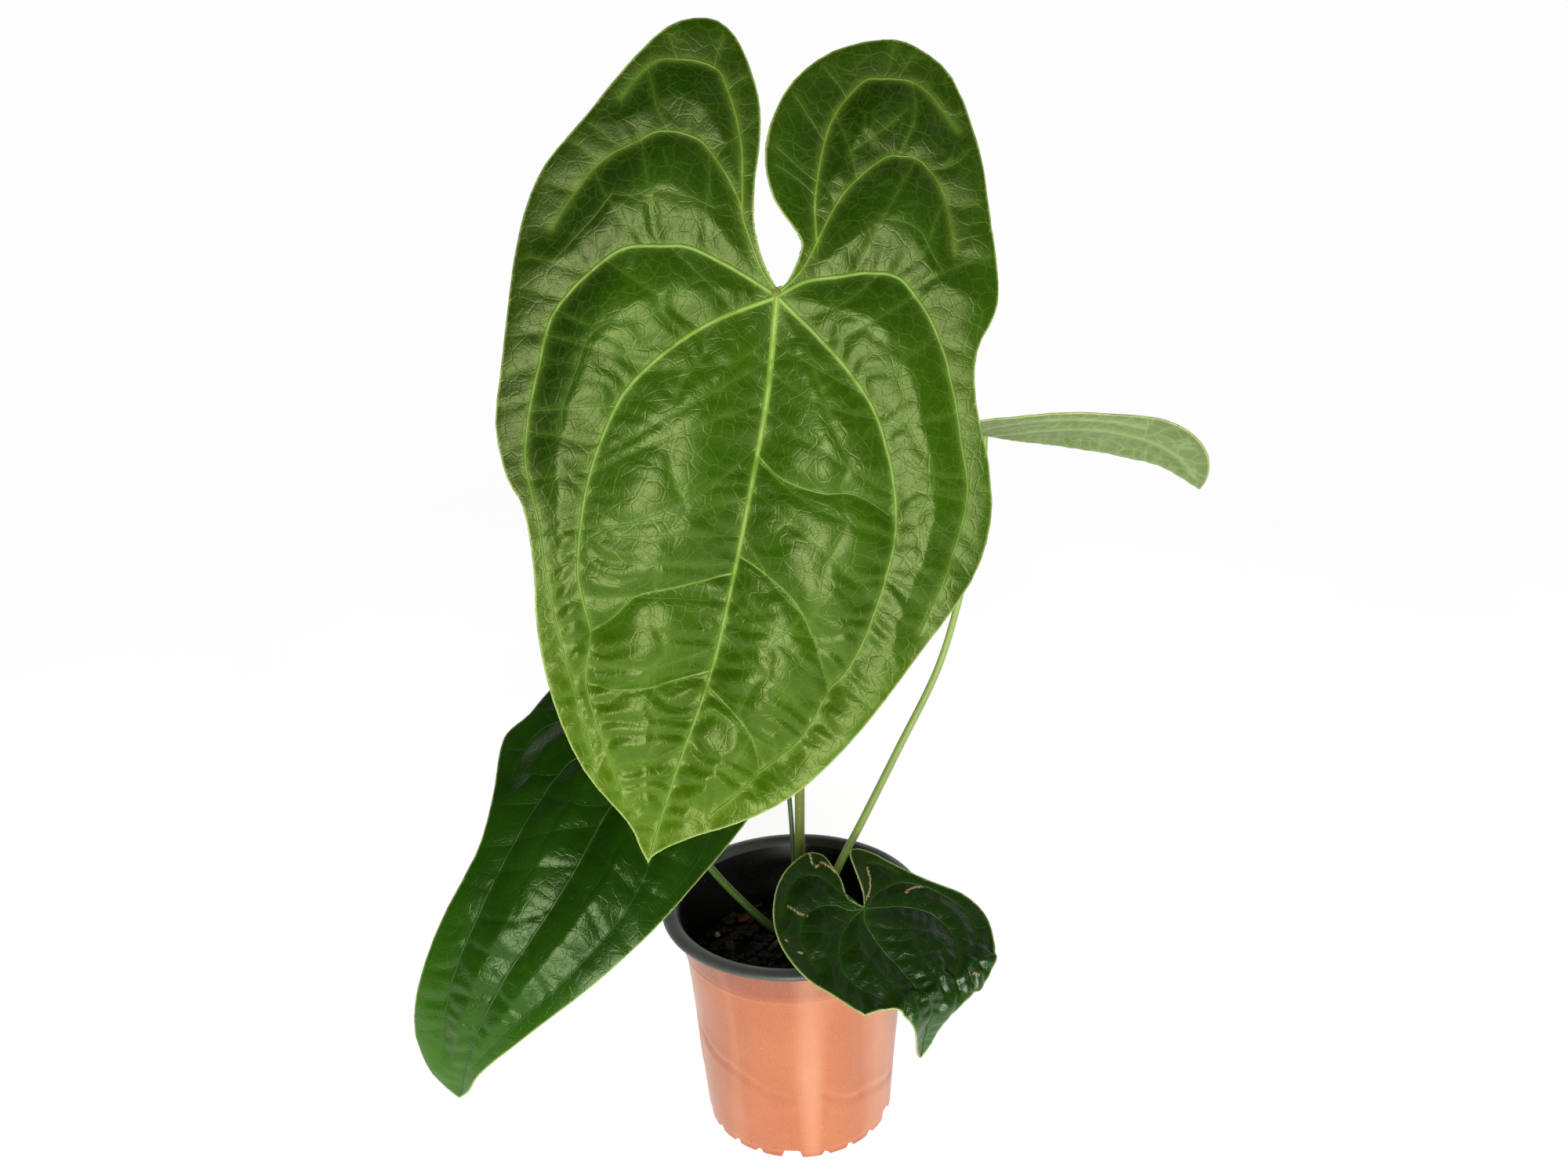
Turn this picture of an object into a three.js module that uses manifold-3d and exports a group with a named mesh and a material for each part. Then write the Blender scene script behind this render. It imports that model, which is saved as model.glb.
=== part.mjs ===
// A young anthurium in a two-tone nursery pot: five heart-shaped leaves on long stalks rise from
// a short stem in bark mix.  Millimetres, +Z up.  The origin is the centre of the pot's underside,
// on the surface that the pot stands on.  The plant's first leaf faces -Y.
import * as THREE from 'three';
import { mergeVertices } from 'three/addons/utils/BufferGeometryUtils.js';
import Module from 'manifold-3d';

const wasm = await Module();
wasm.setup();

// ---------------------------------------------------------------- driving dimensions
const CLEARANCE = 0.3; // between pieces that touch

const POT = {
  height: 134,
  footRadius: 54.5,
  bandRadius: 62.6, // outside, just below the band
  bandStep: 0.7, // the collar stands out this far at the band
  bandDrop: 25, // lip to band
  collarRadius: 66.5, // outside, just under the lip
  lipRadius: 75,
  lipDepth: 3.6,
  lipDip: 1.2, // the lip's top slopes down this far to its outer edge
  wall: 1.4,
  floorLift: 5, // underside of the floor above the ground
  floorThickness: 1.8,
  padRadius: 14, // central pad that touches the ground
  sides: 60,
};
// Feet round the rim of the underside, in groups: small nicks inside a group, a deep notch between
// groups.  `pitch` and `firstAngle` are degrees, the angle taken from -Y toward +X.
const FEET = {
  groups: 5, perGroup: 4, pitch: 16, firstAngle: 6, footWidth: 11, nickHeight: 2.4, notchHeight: 4.4,
};
const DRAINS = { count: 8, radius: 4.5, ringRadius: 38 };

const SOIL = { drop: 33, mound: 5, roughness: 1.1, sides: 40, rings: 7 };
const STEM = { radius: 9.5, rise: 4, root: 26, crownRing: 6.3, offset: [4, 1] };

const BLADE = { thickness: 0.8, rimPoints: 3 };
const STALK = { sides: 8, stepsPerDiameter: 0.34, launch: 5 };

// ---------------------------------------------------------------- leaves
// An outline runs from the notch where the stalk joins to the tip, in hundredths of the leaf's
// length: first along the midrib, then across it (left side negative).  Bends are
// [from, to, degrees] in the same hundredths: `droop` toward the tip, `lobes` toward the back
// lobes, `left` and `right` across the blade.  A positive bend turns the blade away from its face.
const LEAVES = [
  {
    name: 'main_leaf',
    colour: 0x3f8a3a,
    length: 268,
    cell: 18,
    attach: [3, -60, 374.7], // above the soil line
    aim: [-0.25, -0.29, -0.92],
    face: [0.12, -1, 0.28],
    left: [[-5, -3.4], [-10.5, -6.3], [-17, -7.6], [-23, -8.1], [-29.5, -9.4], [-35, -12], [-40.5, -16],
      [-42.3, -21], [-39, -27], [-30.5, -32.3], [-20.5, -37], [-12, -41.5], [-3.5, -43.3], [7, -43],
      [19, -41.8], [31, -40.5], [39, -36.8], [43.5, -33], [53, -29.4], [62, -27], [73.5, -22],
      [84.5, -14.5], [93, -5], [97, -2.2]],
    right: [[-3, 1.2], [-7.8, 2.2], [-10.5, 1.5], [-15.3, -3.9], [-21, -6.7], [-27.6, -7.2], [-36, -5],
      [-43.7, 0.5], [-48, 8.5], [-48, 14.5], [-44, 21.5], [-33, 28.2], [-23, 32], [-11.5, 36.2],
      [-6, 36.8], [1, 35.2], [9, 37], [18.8, 42], [28.5, 45], [39.5, 43.8], [56, 36.3], [71, 29],
      [82, 21.5], [89, 13.2], [93.5, 6], [97.8, 1]],
    bends: { droop: [[7, 100, 14]], lobes: [[4, 48, 16]], left: [[0, 4, -9], [7, 45, 26]], right: [[0, 4, -7], [7, 45, 24]] },
    lean: [0, 0],
    stalk: { base: 82, radii: [2.9, 2.6], colour: 0x8f8f3f, via: [[5, 7, 59], [6, 6, 97], [7, 4, 155], [6, -2, 263], [5, -22, 338]] },
  },
  {
    name: 'left_leaf',
    colour: 0x2c6b2c,
    length: 207,
    cell: 17,
    attach: [-82, -20, 127],
    aim: [-0.475, -0.762, -0.44],
    face: [-0.15, -0.9, 0.35],
    left: [[-8, -4], [-18, -8], [-28, -14], [-31, -22], [-26, -31], [-15, -36], [-4, -36], [2, -38.3],
      [8.5, -37], [26, -27.5], [40, -23.3], [62, -22.5], [84, -18.5], [95, -11], [99, -4]],
    right: [[-8, 4], [-18, 8], [-28, 13], [-31, 21], [-27, 28], [-17, 32], [-4, 32], [17, 29],
      [33.5, 25.5], [52, 19], [69, 11], [86, 3.6], [95, 2]],
    bends: { droop: [[10, 74, 48], [74, 100, 28]], lobes: [[3, 35, 25]], left: [[2, 35, 30]], right: [[2, 35, 30]] },
    lean: [0, 0],
    stalk: { base: 226, radii: [2.3, 2.0], colour: 0x4c7a2c, via: [[-13, -4, 17], [-30, -6, 37], [-47, -9, 62], [-67, -13, 99]] },
  },
  {
    name: 'front_leaf',
    colour: 0x24602a,
    length: 100,
    cell: 10,
    attach: [38, -50, 56],
    aim: [0.478, -0.685, -0.55],
    face: [0.22, -0.5, 0.84],
    left: [[-9, -5], [-20, -2.6], [-29, -2.6], [-37, -3.5], [-42, -11], [-39, -25], [-32, -36], [-21, -45],
      [-9, -50], [4, -51], [19, -48], [34, -40], [48, -32], [51, -20], [57, -14], [68, -10], [85, -6],
      [96, -3]],
    right: [[-8, 4], [-19, 7], [-30, 10], [-33, 14], [-29, 20], [-23, 25], [-14, 31], [1, 43], [15, 57],
      [30, 62], [43, 58], [54, 50], [65, 38], [67, 23], [76, 10], [90, 5]],
    bends: { droop: [[52, 72, 77]], lobes: [[5, 50, 10]], left: [[5, 50, 8]], right: [[5, 50, 8]] },
    lean: [0, 0],
    stalk: { base: 298, radii: [2.0, 1.8], colour: 0x3f6b2c, via: [[15, -14, 17], [28, -34, 37]] },
  },
  {
    name: 'upper_right_leaf',
    colour: 0x8fb06a,
    length: 113,
    cell: 13,
    attach: [108, 10, 295.5],
    aim: [0.97, -0.2, -0.09],
    face: [0.05, 0.2, 0.97],
    left: [[-8, -5], [-20, -10], [-30, -14], [-35, -22], [-31, -31], [-18, -36], [0, -37], [13, -36],
      [26, -36], [39, -35], [52, -33], [62, -32], [73, -30], [84, -25], [92, -18], [98, -8]],
    right: [[-8, 5], [-20, 9], [-30, 13], [-35, 20], [-31, 28], [-18, 33], [0, 34], [13, 34],
      [26, 34], [39, 33], [52, 31], [62, 28], [73, 24], [84, 18], [92, 12], [98, 5]],
    bends: { droop: [[15, 60, 6], [68, 100, 34]], lobes: [[4, 45, 20]], left: [[0, 5, -9]], right: [[0, 5, -9]] },
    lean: [-34, 0],
    stalk: { base: 10, radii: [2.5, 1.6], colour: 0x7a9a4a, via: [[27, 1, 52], [41, 2, 80], [61, 4, 121], [83, 6, 167], [95, 7, 208], [106, 8, 258]] },
  },
  {
    name: 'rear_leaf',
    colour: 0x4f7a4a,
    length: 108,
    cell: 15,
    attach: [-12, 45, 191],
    aim: [0.6, 0.16, -0.78],
    face: [-0.1, -0.97, 0.2],
    left: [[-8, -4], [-20, -8], [-30, -13], [-34, -21], [-29, -30], [-14, -35], [5, -35], [25, -33],
      [45, -28], [65, -20], [82, -11], [94, -4]],
    right: [[-8, 4], [-20, 8], [-30, 13], [-34, 21], [-29, 30], [-14, 35], [5, 35], [25, 33],
      [45, 28], [65, 20], [82, 11], [94, 4]],
    bends: { droop: [[20, 100, 20]], lobes: [[4, 40, 14]], left: [[0, 5, -8], [10, 36, 16]], right: [[0, 5, -8], [10, 36, 16]] },
    lean: [0, 0],
    stalk: { base: 154, radii: [1.5, 1.25], colour: 0x3a5f2a, via: [[1, 11, 48], [0, 21, 87], [-4, 48, 118], [-9, 66, 150], [-12, 62, 180]] },
  },
];

// Papery sheaths at the crown, one leaf of sheet each, wrapped round the stem.
const SHEATH = {
  colour: 0x7a5a35,
  lengths: [25, 22, 19],
  angles: [262, 46, 118],
  outline: [[2, 10], [12, 14.5], [30, 16], [55, 12], [80, 6], [93, 2]],
  halfWidth: 16, // the widest point of the outline
  spread: 9, // degrees that each leans out from the stem
  thickness: 0.6,
  cell: 4,
};

// Aerial roots: the angle round the stem where each leaves it, how far out it meets the mix and
// how deep it goes.
const ROOTS = { radius: 1.8, tipRadius: 1.2, colour: 0x6b5a3c, angles: [190, 325, 82], reach: 13, depth: 9, start: 5 };

// Bits of bark, perlite and one straw on the mix.  Each place is a share of the mix's radius and
// an angle; bark then has its turn and [length, width, depth], perlite its radius.
const BARK = {
  colour: 0x4a2a18,
  bits: [
    [0.52, 225, 20, [13, 8, 4]],
    [0.64, 174, 110, [11, 7, 4]],
    [0.48, 115, 65, [15, 7, 4.5]],
    [0.66, 49, 140, [12, 8, 4]],
    [0.72, 347, 30, [12, 6, 4]],
    [0.72, 304, 80, [11, 8, 3.5]],
    [0.78, 130, 10, [10, 7, 4]],
    [0.7, 263, 155, [12, 6, 4]],
  ],
};
const PERLITE = {
  colour: 0xd8d4c8,
  bits: [[0.63, 205, 2.1], [0.72, 220, 1.7], [0.49, 254, 1.9], [0.77, 72, 2.2], [0.78, 20, 1.8], [0.83, 157, 2]],
};
const STRAW = { colour: 0xa08850, radius: 0.9, from: [0.83, 233], to: [0.84, 263] };

// ---------------------------------------------------------------- small helpers
const radians = THREE.MathUtils.degToRad;
const onRing = (radius, degrees) => [radius * Math.cos(radians(degrees)), radius * Math.sin(radians(degrees))];

function toSolid(geometry) {
  const bare = geometry.clone();
  bare.deleteAttribute('normal');
  bare.deleteAttribute('uv');
  const merged = mergeVertices(bare, 1e-4);
  return new wasm.Manifold(new wasm.Mesh({
    numProp: 3,
    vertProperties: new Float32Array(merged.attributes.position.array),
    triVerts: new Uint32Array(merged.index.array),
  }));
}

function toGeometry(solid) {
  const mesh = solid.getMesh();
  const geometry = new THREE.BufferGeometry();
  geometry.setAttribute('position', new THREE.BufferAttribute(mesh.vertProperties, mesh.numProp));
  geometry.setIndex(new THREE.BufferAttribute(mesh.triVerts, 1));
  geometry.computeVertexNormals();
  return geometry;
}

function mapVertices(geometry, change) {
  const position = geometry.attributes.position;
  const point = new THREE.Vector3();
  for (let i = 0; i < position.count; i += 1) {
    point.fromBufferAttribute(position, i);
    change(point);
    position.setXYZ(i, point.x, point.y, point.z);
  }
  geometry.computeVertexNormals();
  return geometry;
}

function addPiece(parent, name, geometry, colour, roughness) {
  const material = new THREE.MeshStandardMaterial({ color: colour, roughness, metalness: 0 });
  const mesh = new THREE.Mesh(geometry, material);
  mesh.name = name;
  parent.add(mesh);
  return mesh;
}

// ---------------------------------------------------------------- pot
const bandHeight = POT.height - POT.bandDrop;
const lipUnderside = POT.height - POT.lipDepth;
const floorTop = POT.floorLift + POT.floorThickness;

/** Outer radius of the tapering wall below the band. */
function bodyRadius(z) {
  return THREE.MathUtils.mapLinear(z, 0, bandHeight, POT.footRadius, POT.bandRadius);
}

/** Inner radius of the pot, band and collar included. */
function insideRadius(z) {
  const collarFoot = POT.bandRadius + POT.bandStep;
  const outside = z < bandHeight ? bodyRadius(z)
    : THREE.MathUtils.mapLinear(z, bandHeight, lipUnderside, collarFoot, POT.collarRadius);
  return outside - POT.wall;
}

function potShell() {
  const profile = [
    [0, 0],
    [POT.padRadius, 0],
    [POT.padRadius, POT.floorLift],
    [bodyRadius(POT.floorLift) - POT.wall, POT.floorLift],
    [POT.footRadius - POT.wall, 0],
    [POT.footRadius, 0],
    [POT.bandRadius, bandHeight],
    [POT.bandRadius + POT.bandStep, bandHeight + POT.bandStep],
    [POT.collarRadius, lipUnderside - POT.wall],
    [POT.collarRadius + POT.wall, lipUnderside],
    [POT.lipRadius - POT.wall / 2, lipUnderside],
    [POT.lipRadius, lipUnderside + POT.wall / 2],
    [POT.lipRadius, POT.height - POT.lipDip],
    [(POT.lipRadius + POT.collarRadius) / 2, POT.height],
    [POT.collarRadius + POT.wall, POT.height],
    [insideRadius(lipUnderside), lipUnderside],
    [insideRadius(bandHeight), bandHeight],
    [insideRadius(floorTop), floorTop],
    [0, floorTop],
  ].map(([r, z]) => new THREE.Vector2(r, z));
  return new THREE.LatheGeometry(profile, POT.sides).rotateX(Math.PI / 2);
}

/** Start angle, end angle and height of each cut between two feet; the last in a group is deep. */
function footCuts() {
  const cuts = [];
  const groupAngle = 360 / FEET.groups;
  const footAngle = THREE.MathUtils.radToDeg(FEET.footWidth / POT.footRadius);
  for (let group = 0; group < FEET.groups; group += 1) {
    for (let i = 0; i < FEET.perGroup; i += 1) {
      const last = i === FEET.perGroup - 1;
      const centre = group * groupAngle + FEET.firstAngle + i * FEET.pitch;
      const next = last ? (group + 1) * groupAngle + FEET.firstAngle : centre + FEET.pitch;
      const height = last ? FEET.notchHeight : FEET.nickHeight;
      cuts.push([centre + footAngle / 2, next - footAngle / 2, height]);
    }
  }
  return cuts;
}

function makePot() {
  let pot = toSolid(potShell());
  const reach = 4 * POT.wall;
  for (const [from, to, height] of footCuts()) {
    const width = POT.footRadius * radians(to - from);
    const cut = new THREE.BoxGeometry(reach, width, 2 * height);
    cut.translate(POT.footRadius - POT.wall / 2, 0, 0).rotateZ(radians((from + to) / 2 - 90));
    pot = pot.subtract(toSolid(cut));
  }
  for (let i = 0; i < DRAINS.count; i += 1) {
    const hole = new THREE.CylinderGeometry(DRAINS.radius, DRAINS.radius, 3 * POT.floorThickness, 14);
    const [x, y] = onRing(DRAINS.ringRadius, (i * 360) / DRAINS.count);
    hole.rotateX(Math.PI / 2).translate(x, y, floorTop - POT.floorThickness / 2);
    pot = pot.subtract(toSolid(hole));
  }
  return toGeometry(pot);
}

// ---------------------------------------------------------------- stalks, roots and straw
/** A round stalk through the points, thinning evenly from one end to the other. */
function stalk(points, startRadius, endRadius, sides = STALK.sides) {
  const curve = new THREE.CatmullRomCurve3(points.map((p) => new THREE.Vector3(...p)), false, 'chordal');
  const steps = Math.max(2, Math.ceil((curve.getLength() * STALK.stepsPerDiameter) / (2 * startRadius)));
  const section = new THREE.Shape();
  for (let i = 0; i < sides; i += 1) {
    const [x, y] = onRing(1, (i * 360) / sides);
    if (i === 0) section.moveTo(x, y);
    else section.lineTo(x, y);
  }
  const geometry = new THREE.ExtrudeGeometry(section, { steps, bevelEnabled: false, extrudePath: curve });
  const centres = curve.getSpacedPoints(steps);
  return mapVertices(geometry, (point) => {
    const nearest = centres.reduce((best, c, i) => (c.distanceTo(point) < centres[best].distanceTo(point) ? i : best), 0);
    const radius = THREE.MathUtils.lerp(startRadius, endRadius, nearest / steps);
    point.sub(centres[nearest]).setLength(radius).add(centres[nearest]);
  });
}

// ---------------------------------------------------------------- blades
/** Follows a line that bends in arcs: how far it has run, how far it has risen and its angle. */
function follow(distance, bends, length) {
  let run = 0;
  let rise = 0;
  let angle = 0;
  let done = 0;
  const straight = (to) => {
    run += (to - done) * Math.cos(angle);
    rise -= (to - done) * Math.sin(angle);
    done = to;
  };
  for (const [from, to, degrees] of bends) {
    const start = (from * length) / 100;
    const end = (to * length) / 100;
    if (distance <= start) break;
    straight(start);
    const curvature = radians(degrees) / (end - start);
    const reached = Math.min(distance, end);
    const next = angle + curvature * (reached - start);
    run += (Math.sin(next) - Math.sin(angle)) / curvature;
    rise += (Math.cos(next) - Math.cos(angle)) / curvature;
    angle = next;
    done = reached;
  }
  if (distance > done) straight(distance);
  return { run, rise, angle };
}

/** Bends a flat blade: x along the midrib, y across it, z through its thickness. */
function bendBlade(point, { bends, lean, length }) {
  const forward = point.x >= 0;
  const along = follow(Math.abs(point.x), forward ? bends.droop : bends.lobes, length);
  const side = point.y >= 0 ? 1 : -1;
  const across = follow(Math.abs(point.y), side > 0 ? bends.right : bends.left, length);
  const turn = across.angle;
  let out = across.run + point.z * Math.sin(turn);
  let lift = across.rise + point.z * Math.cos(turn);
  const tilt = radians(side > 0 ? lean[1] : -lean[0]) * (point.x / length);
  [out, lift] = [out * Math.cos(tilt) - lift * Math.sin(tilt), out * Math.sin(tilt) + lift * Math.cos(tilt)];
  const heading = forward ? along.angle : -along.angle;
  const run = forward ? along.run : -along.run;
  point.set(run + lift * Math.sin(heading), side * out, along.rise + lift * Math.cos(heading));
}

function smooth(points) {
  const curve = new THREE.SplineCurve(points);
  return curve.getPoints((points.length - 1) * BLADE.rimPoints);
}

/** A thin blade cut to its outline, with a grid of facets fine enough to bend. */
function blade({ left, right, length, cell, thickness = BLADE.thickness, bends, lean }) {
  const scaled = (list) => list.map(([u, v]) => new THREE.Vector2((u * length) / 100, (v * length) / 100));
  const notch = new THREE.Vector2(-length / 100, 0);
  const tip = new THREE.Vector2(length, 0);
  const leftRim = smooth([notch, ...scaled(left), tip]);
  const rightRim = smooth([notch, ...scaled(right), tip]).reverse();
  const rim = [...leftRim, ...rightRim.slice(1, -1)];
  const box = new THREE.Box2().setFromPoints(rim);
  const size = box.getSize(new THREE.Vector2()).addScalar(2 * cell);
  const middle = box.getCenter(new THREE.Vector2());
  const sheet = new THREE.BoxGeometry(
    size.x, size.y, thickness, Math.ceil(size.x / cell), Math.ceil(size.y / cell), 1,
  );
  sheet.translate(middle.x, middle.y, 0);
  const dome = cell / (40 * length); // keeps neighbouring facets out of one plane
  mapVertices(sheet, (p) => p.set(p.x, p.y, p.z - dome * (p.x * p.x + p.y * p.y)));
  const depth = length;
  const cutter = new THREE.ExtrudeGeometry(new THREE.Shape(rim), { depth, bevelEnabled: false });
  cutter.translate(0, 0, -depth / 2);
  const cut = toGeometry(toSolid(sheet).intersect(toSolid(cutter)));
  return mapVertices(cut, (p) => {
    p.z += dome * (p.x * p.x + p.y * p.y);
    bendBlade(p, { bends, lean, length });
  });
}

/** Sets a mesh at a point with its x axis along `aim` and its z axis as near `face` as it can be. */
function place(mesh, at, aim, face) {
  const x = new THREE.Vector3(...aim).normalize();
  const z = new THREE.Vector3(...face).projectOnPlane(x).normalize();
  const y = new THREE.Vector3().crossVectors(z, x);
  mesh.quaternion.setFromRotationMatrix(new THREE.Matrix4().makeBasis(x, y, z));
  mesh.position.set(...at);
  return z;
}

// ---------------------------------------------------------------- mix and what lies in it
const soilLine = POT.height - SOIL.drop;
const stemTop = soilLine + STEM.rise;

const mixRadius = insideRadius(soilLine - SOIL.mound) - CLEARANCE;

/** Height of the mix: a low mound round the stem with an uneven surface. */
function soilHeight(x, y) {
  const radius = Math.min(1, Math.hypot(x, y) / mixRadius);
  const waves = Math.sin(x * 0.31 + 1.3) * Math.cos(y * 0.27) + Math.sin((x + y) * 0.17);
  return soilLine - SOIL.mound * radius * radius + SOIL.roughness * waves * (1 - radius);
}

function soilBody() {
  const foot = floorTop + CLEARANCE;
  const profile = [new THREE.Vector2(0, foot), new THREE.Vector2(insideRadius(foot) - CLEARANCE, foot)];
  for (let ring = 0; ring <= SOIL.rings; ring += 1) {
    const radius = mixRadius * (1 - ring / SOIL.rings);
    profile.push(new THREE.Vector2(radius, soilLine - SOIL.mound));
  }
  const body = new THREE.LatheGeometry(profile, SOIL.sides).rotateX(Math.PI / 2);
  return mapVertices(body, (p) => {
    if (p.z > foot + 1) p.z = soilHeight(p.x, p.y);
  });
}

function stemBody(grow) {
  const radius = STEM.radius + grow;
  const foot = soilLine - STEM.root - grow;
  const top = stemTop + grow;
  const profile = [[0, foot], [radius * 0.55, foot], [radius * 0.9, foot + STEM.root * 0.4], [radius, soilLine],
    [radius, top - 1.5], [radius - 1.5, top], [0, top]];
  const body = new THREE.LatheGeometry(profile.map(([r, z]) => new THREE.Vector2(r, z)), 20).rotateX(Math.PI / 2);
  return body.translate(...STEM.offset, 0);
}

function rootBody(angle, grow) {
  const at = (radius, z) => {
    const [x, y] = onRing(radius, angle);
    return [x + STEM.offset[0], y + STEM.offset[1], z];
  };
  const near = STEM.radius + CLEARANCE;
  const far = near + ROOTS.reach;
  const height = soilLine + ROOTS.start;
  const points = [at(near, height), at(near + ROOTS.reach / 3, height - 0.5), at(near + (2 * ROOTS.reach) / 3, soilLine),
    at(far, soilLine - ROOTS.depth - grow)];
  return stalk(points, ROOTS.radius + grow, ROOTS.tipRadius + grow, 8);
}

function barkBit([share, angle, turn, [length, width, depth]], grow) {
  const [x, y] = onRing(share * mixRadius, angle);
  const bit = new THREE.DodecahedronGeometry(0.5, 0).scale(length + 2 * grow, width + 2 * grow, depth + 2 * grow);
  return bit.rotateZ(radians(turn)).translate(x, y, soilHeight(x, y) + depth * 0.12);
}

function perliteBit([share, angle, radius], grow) {
  const [x, y] = onRing(share * mixRadius, angle);
  return new THREE.IcosahedronGeometry(radius + grow, 0).translate(x, y, soilHeight(x, y) + radius * 0.3);
}

function strawBody(grow) {
  const on = ([share, angle]) => {
    const [x, y] = onRing(share * mixRadius, angle);
    return [x, y, soilHeight(x, y) + STRAW.radius * 0.5];
  };
  return stalk([on(STRAW.from), on(STRAW.to)], STRAW.radius + grow, STRAW.radius + grow, 6);
}

// ---------------------------------------------------------------- assembly
const plant = new THREE.Group();

addPiece(plant, 'nursery_pot', makePot(), 0xd0744c, 0.5);

const inMix = [{ name: 'stem', make: stemBody, colour: 0x6b6a3a }];
ROOTS.angles.forEach((angle, i) => {
  inMix.push({ name: `aerial_root_${i + 1}`, make: (grow) => rootBody(angle, grow), colour: ROOTS.colour });
});
BARK.bits.forEach((bit, i) => {
  inMix.push({ name: `bark_chip_${i + 1}`, make: (grow) => barkBit(bit, grow), colour: BARK.colour });
});
PERLITE.bits.forEach((bit, i) => {
  inMix.push({ name: `perlite_${i + 1}`, make: (grow) => perliteBit(bit, grow), colour: PERLITE.colour });
});
inMix.push({ name: 'straw', make: strawBody, colour: STRAW.colour });

let mix = toSolid(soilBody());
for (const { name, make, colour } of inMix) {
  mix = mix.subtract(toSolid(make(CLEARANCE)));
  addPiece(plant, name, make(0), colour, 0.85);
}
addPiece(plant, 'potting_mix', toGeometry(mix), 0x2a201a, 0.95);

for (const leaf of LEAVES) {
  const attach = new THREE.Vector3(leaf.attach[0], leaf.attach[1], leaf.attach[2] + soilLine);
  const sheet = addPiece(plant, `${leaf.name}_blade`, blade(leaf), leaf.colour, 0.4);
  const facing = place(sheet, attach, leaf.aim, leaf.face);

  const { base, radii, via, colour } = leaf.stalk;
  const [x, y] = onRing(STEM.crownRing, base);
  const foot = [x + STEM.offset[0], y + STEM.offset[1], stemTop + CLEARANCE];
  const above = [foot[0], foot[1], foot[2] + STALK.launch];
  const end = attach.clone().addScaledVector(facing, -(BLADE.thickness / 2 + CLEARANCE));
  const before = end.clone().addScaledVector(facing, -STALK.launch);
  const middle = via.map(([vx, vy, vz]) => [vx, vy, vz + soilLine]);
  const path = [foot, above, ...middle, before.toArray(), end.toArray()];
  addPiece(plant, `${leaf.name}_stalk`, stalk(path, ...radii), colour, 0.5);
}

SHEATH.angles.forEach((angle, i) => {
  const length = SHEATH.lengths[i];
  const ring = STEM.radius + CLEARANCE + SHEATH.thickness;
  const wrap = [[0, SHEATH.halfWidth, THREE.MathUtils.radToDeg((SHEATH.halfWidth * length) / 100 / ring)]];
  const sheet = blade({
    left: SHEATH.outline.map(([u, v]) => [u, -v]), right: SHEATH.outline, length,
    cell: SHEATH.cell, thickness: SHEATH.thickness,
    bends: { droop: [], lobes: [], left: wrap, right: wrap }, lean: [0, 0],
  });
  const mesh = addPiece(plant, `leaf_sheath_${i + 1}`, sheet, SHEATH.colour, 0.8);
  const [x, y] = onRing(ring, angle);
  const lean = radians(SHEATH.spread);
  const [outX, outY] = onRing(1, angle);
  place(mesh, [x + STEM.offset[0], y + STEM.offset[1], soilLine + 3],
    [outX * Math.sin(lean), outY * Math.sin(lean), Math.cos(lean)], [outX, outY, 0]);
});

export default plant;
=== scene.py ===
import math

import bmesh
import bpy
import numpy as np
from bpy.props import FloatProperty, FloatVectorProperty, IntProperty, PointerProperty
from mathutils import Matrix, Vector, kdtree, noise


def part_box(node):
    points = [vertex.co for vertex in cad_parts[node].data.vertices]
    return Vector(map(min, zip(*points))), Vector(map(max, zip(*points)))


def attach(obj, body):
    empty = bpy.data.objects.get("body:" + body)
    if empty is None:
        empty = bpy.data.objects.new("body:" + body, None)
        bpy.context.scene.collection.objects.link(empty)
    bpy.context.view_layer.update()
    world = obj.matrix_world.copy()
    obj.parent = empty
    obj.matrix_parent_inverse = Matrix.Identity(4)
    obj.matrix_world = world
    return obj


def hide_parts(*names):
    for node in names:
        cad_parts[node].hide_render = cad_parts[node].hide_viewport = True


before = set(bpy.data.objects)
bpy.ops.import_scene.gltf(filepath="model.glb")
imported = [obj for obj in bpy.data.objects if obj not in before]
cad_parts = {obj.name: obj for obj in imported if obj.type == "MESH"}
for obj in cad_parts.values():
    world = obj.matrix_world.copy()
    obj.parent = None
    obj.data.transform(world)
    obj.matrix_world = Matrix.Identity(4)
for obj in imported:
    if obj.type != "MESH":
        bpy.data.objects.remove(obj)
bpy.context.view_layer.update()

bl_info = {
    "name": "Potted anthurium",
    "version": (1, 0, 0),
    "blender": (4, 5, 0),
    "location": "3D View > Sidebar > Plant",
    "description": "Builds a young anthurium in its nursery pot around the packed frame",
    "category": "Add Mesh",
}

MM = 0.001
POT_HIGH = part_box("nursery_pot")[1]
MIX_LOW, MIX_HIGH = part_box("potting_mix")
STEM_LOW, STEM_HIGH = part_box("stem")

# ------------------------------------------------------------------ the pot, in metres
POT_TOP = POT_HIGH[2]
LIP_RADIUS = POT_HIGH[0]
FOOT_RADIUS = 54.5 * MM
BAND_RADIUS = 62.6 * MM
BAND_STEP = 0.7 * MM
BAND_HEIGHT = POT_TOP - 25 * MM
COLLAR_RADIUS = 66.5 * MM
LIP_UNDERSIDE = POT_TOP - 3.6 * MM
LIP_DIP = 1.2 * MM
WALL = 1.4 * MM
FLOOR_LIFT = 5 * MM
FLOOR_TOP = FLOOR_LIFT + 1.8 * MM
PAD_RADIUS = 14 * MM
# Cuts in the foot ring: groups of pads round it, their pitch and width in degrees, and how high the
# small nicks between pads and the wide notches between groups are cut.
FEET = {"groups": 5, "per_group": 4, "pitch": 16, "first": 6, "width": 11.6,
        "nick": 2.4 * MM, "notch": 4.4 * MM}
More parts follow.
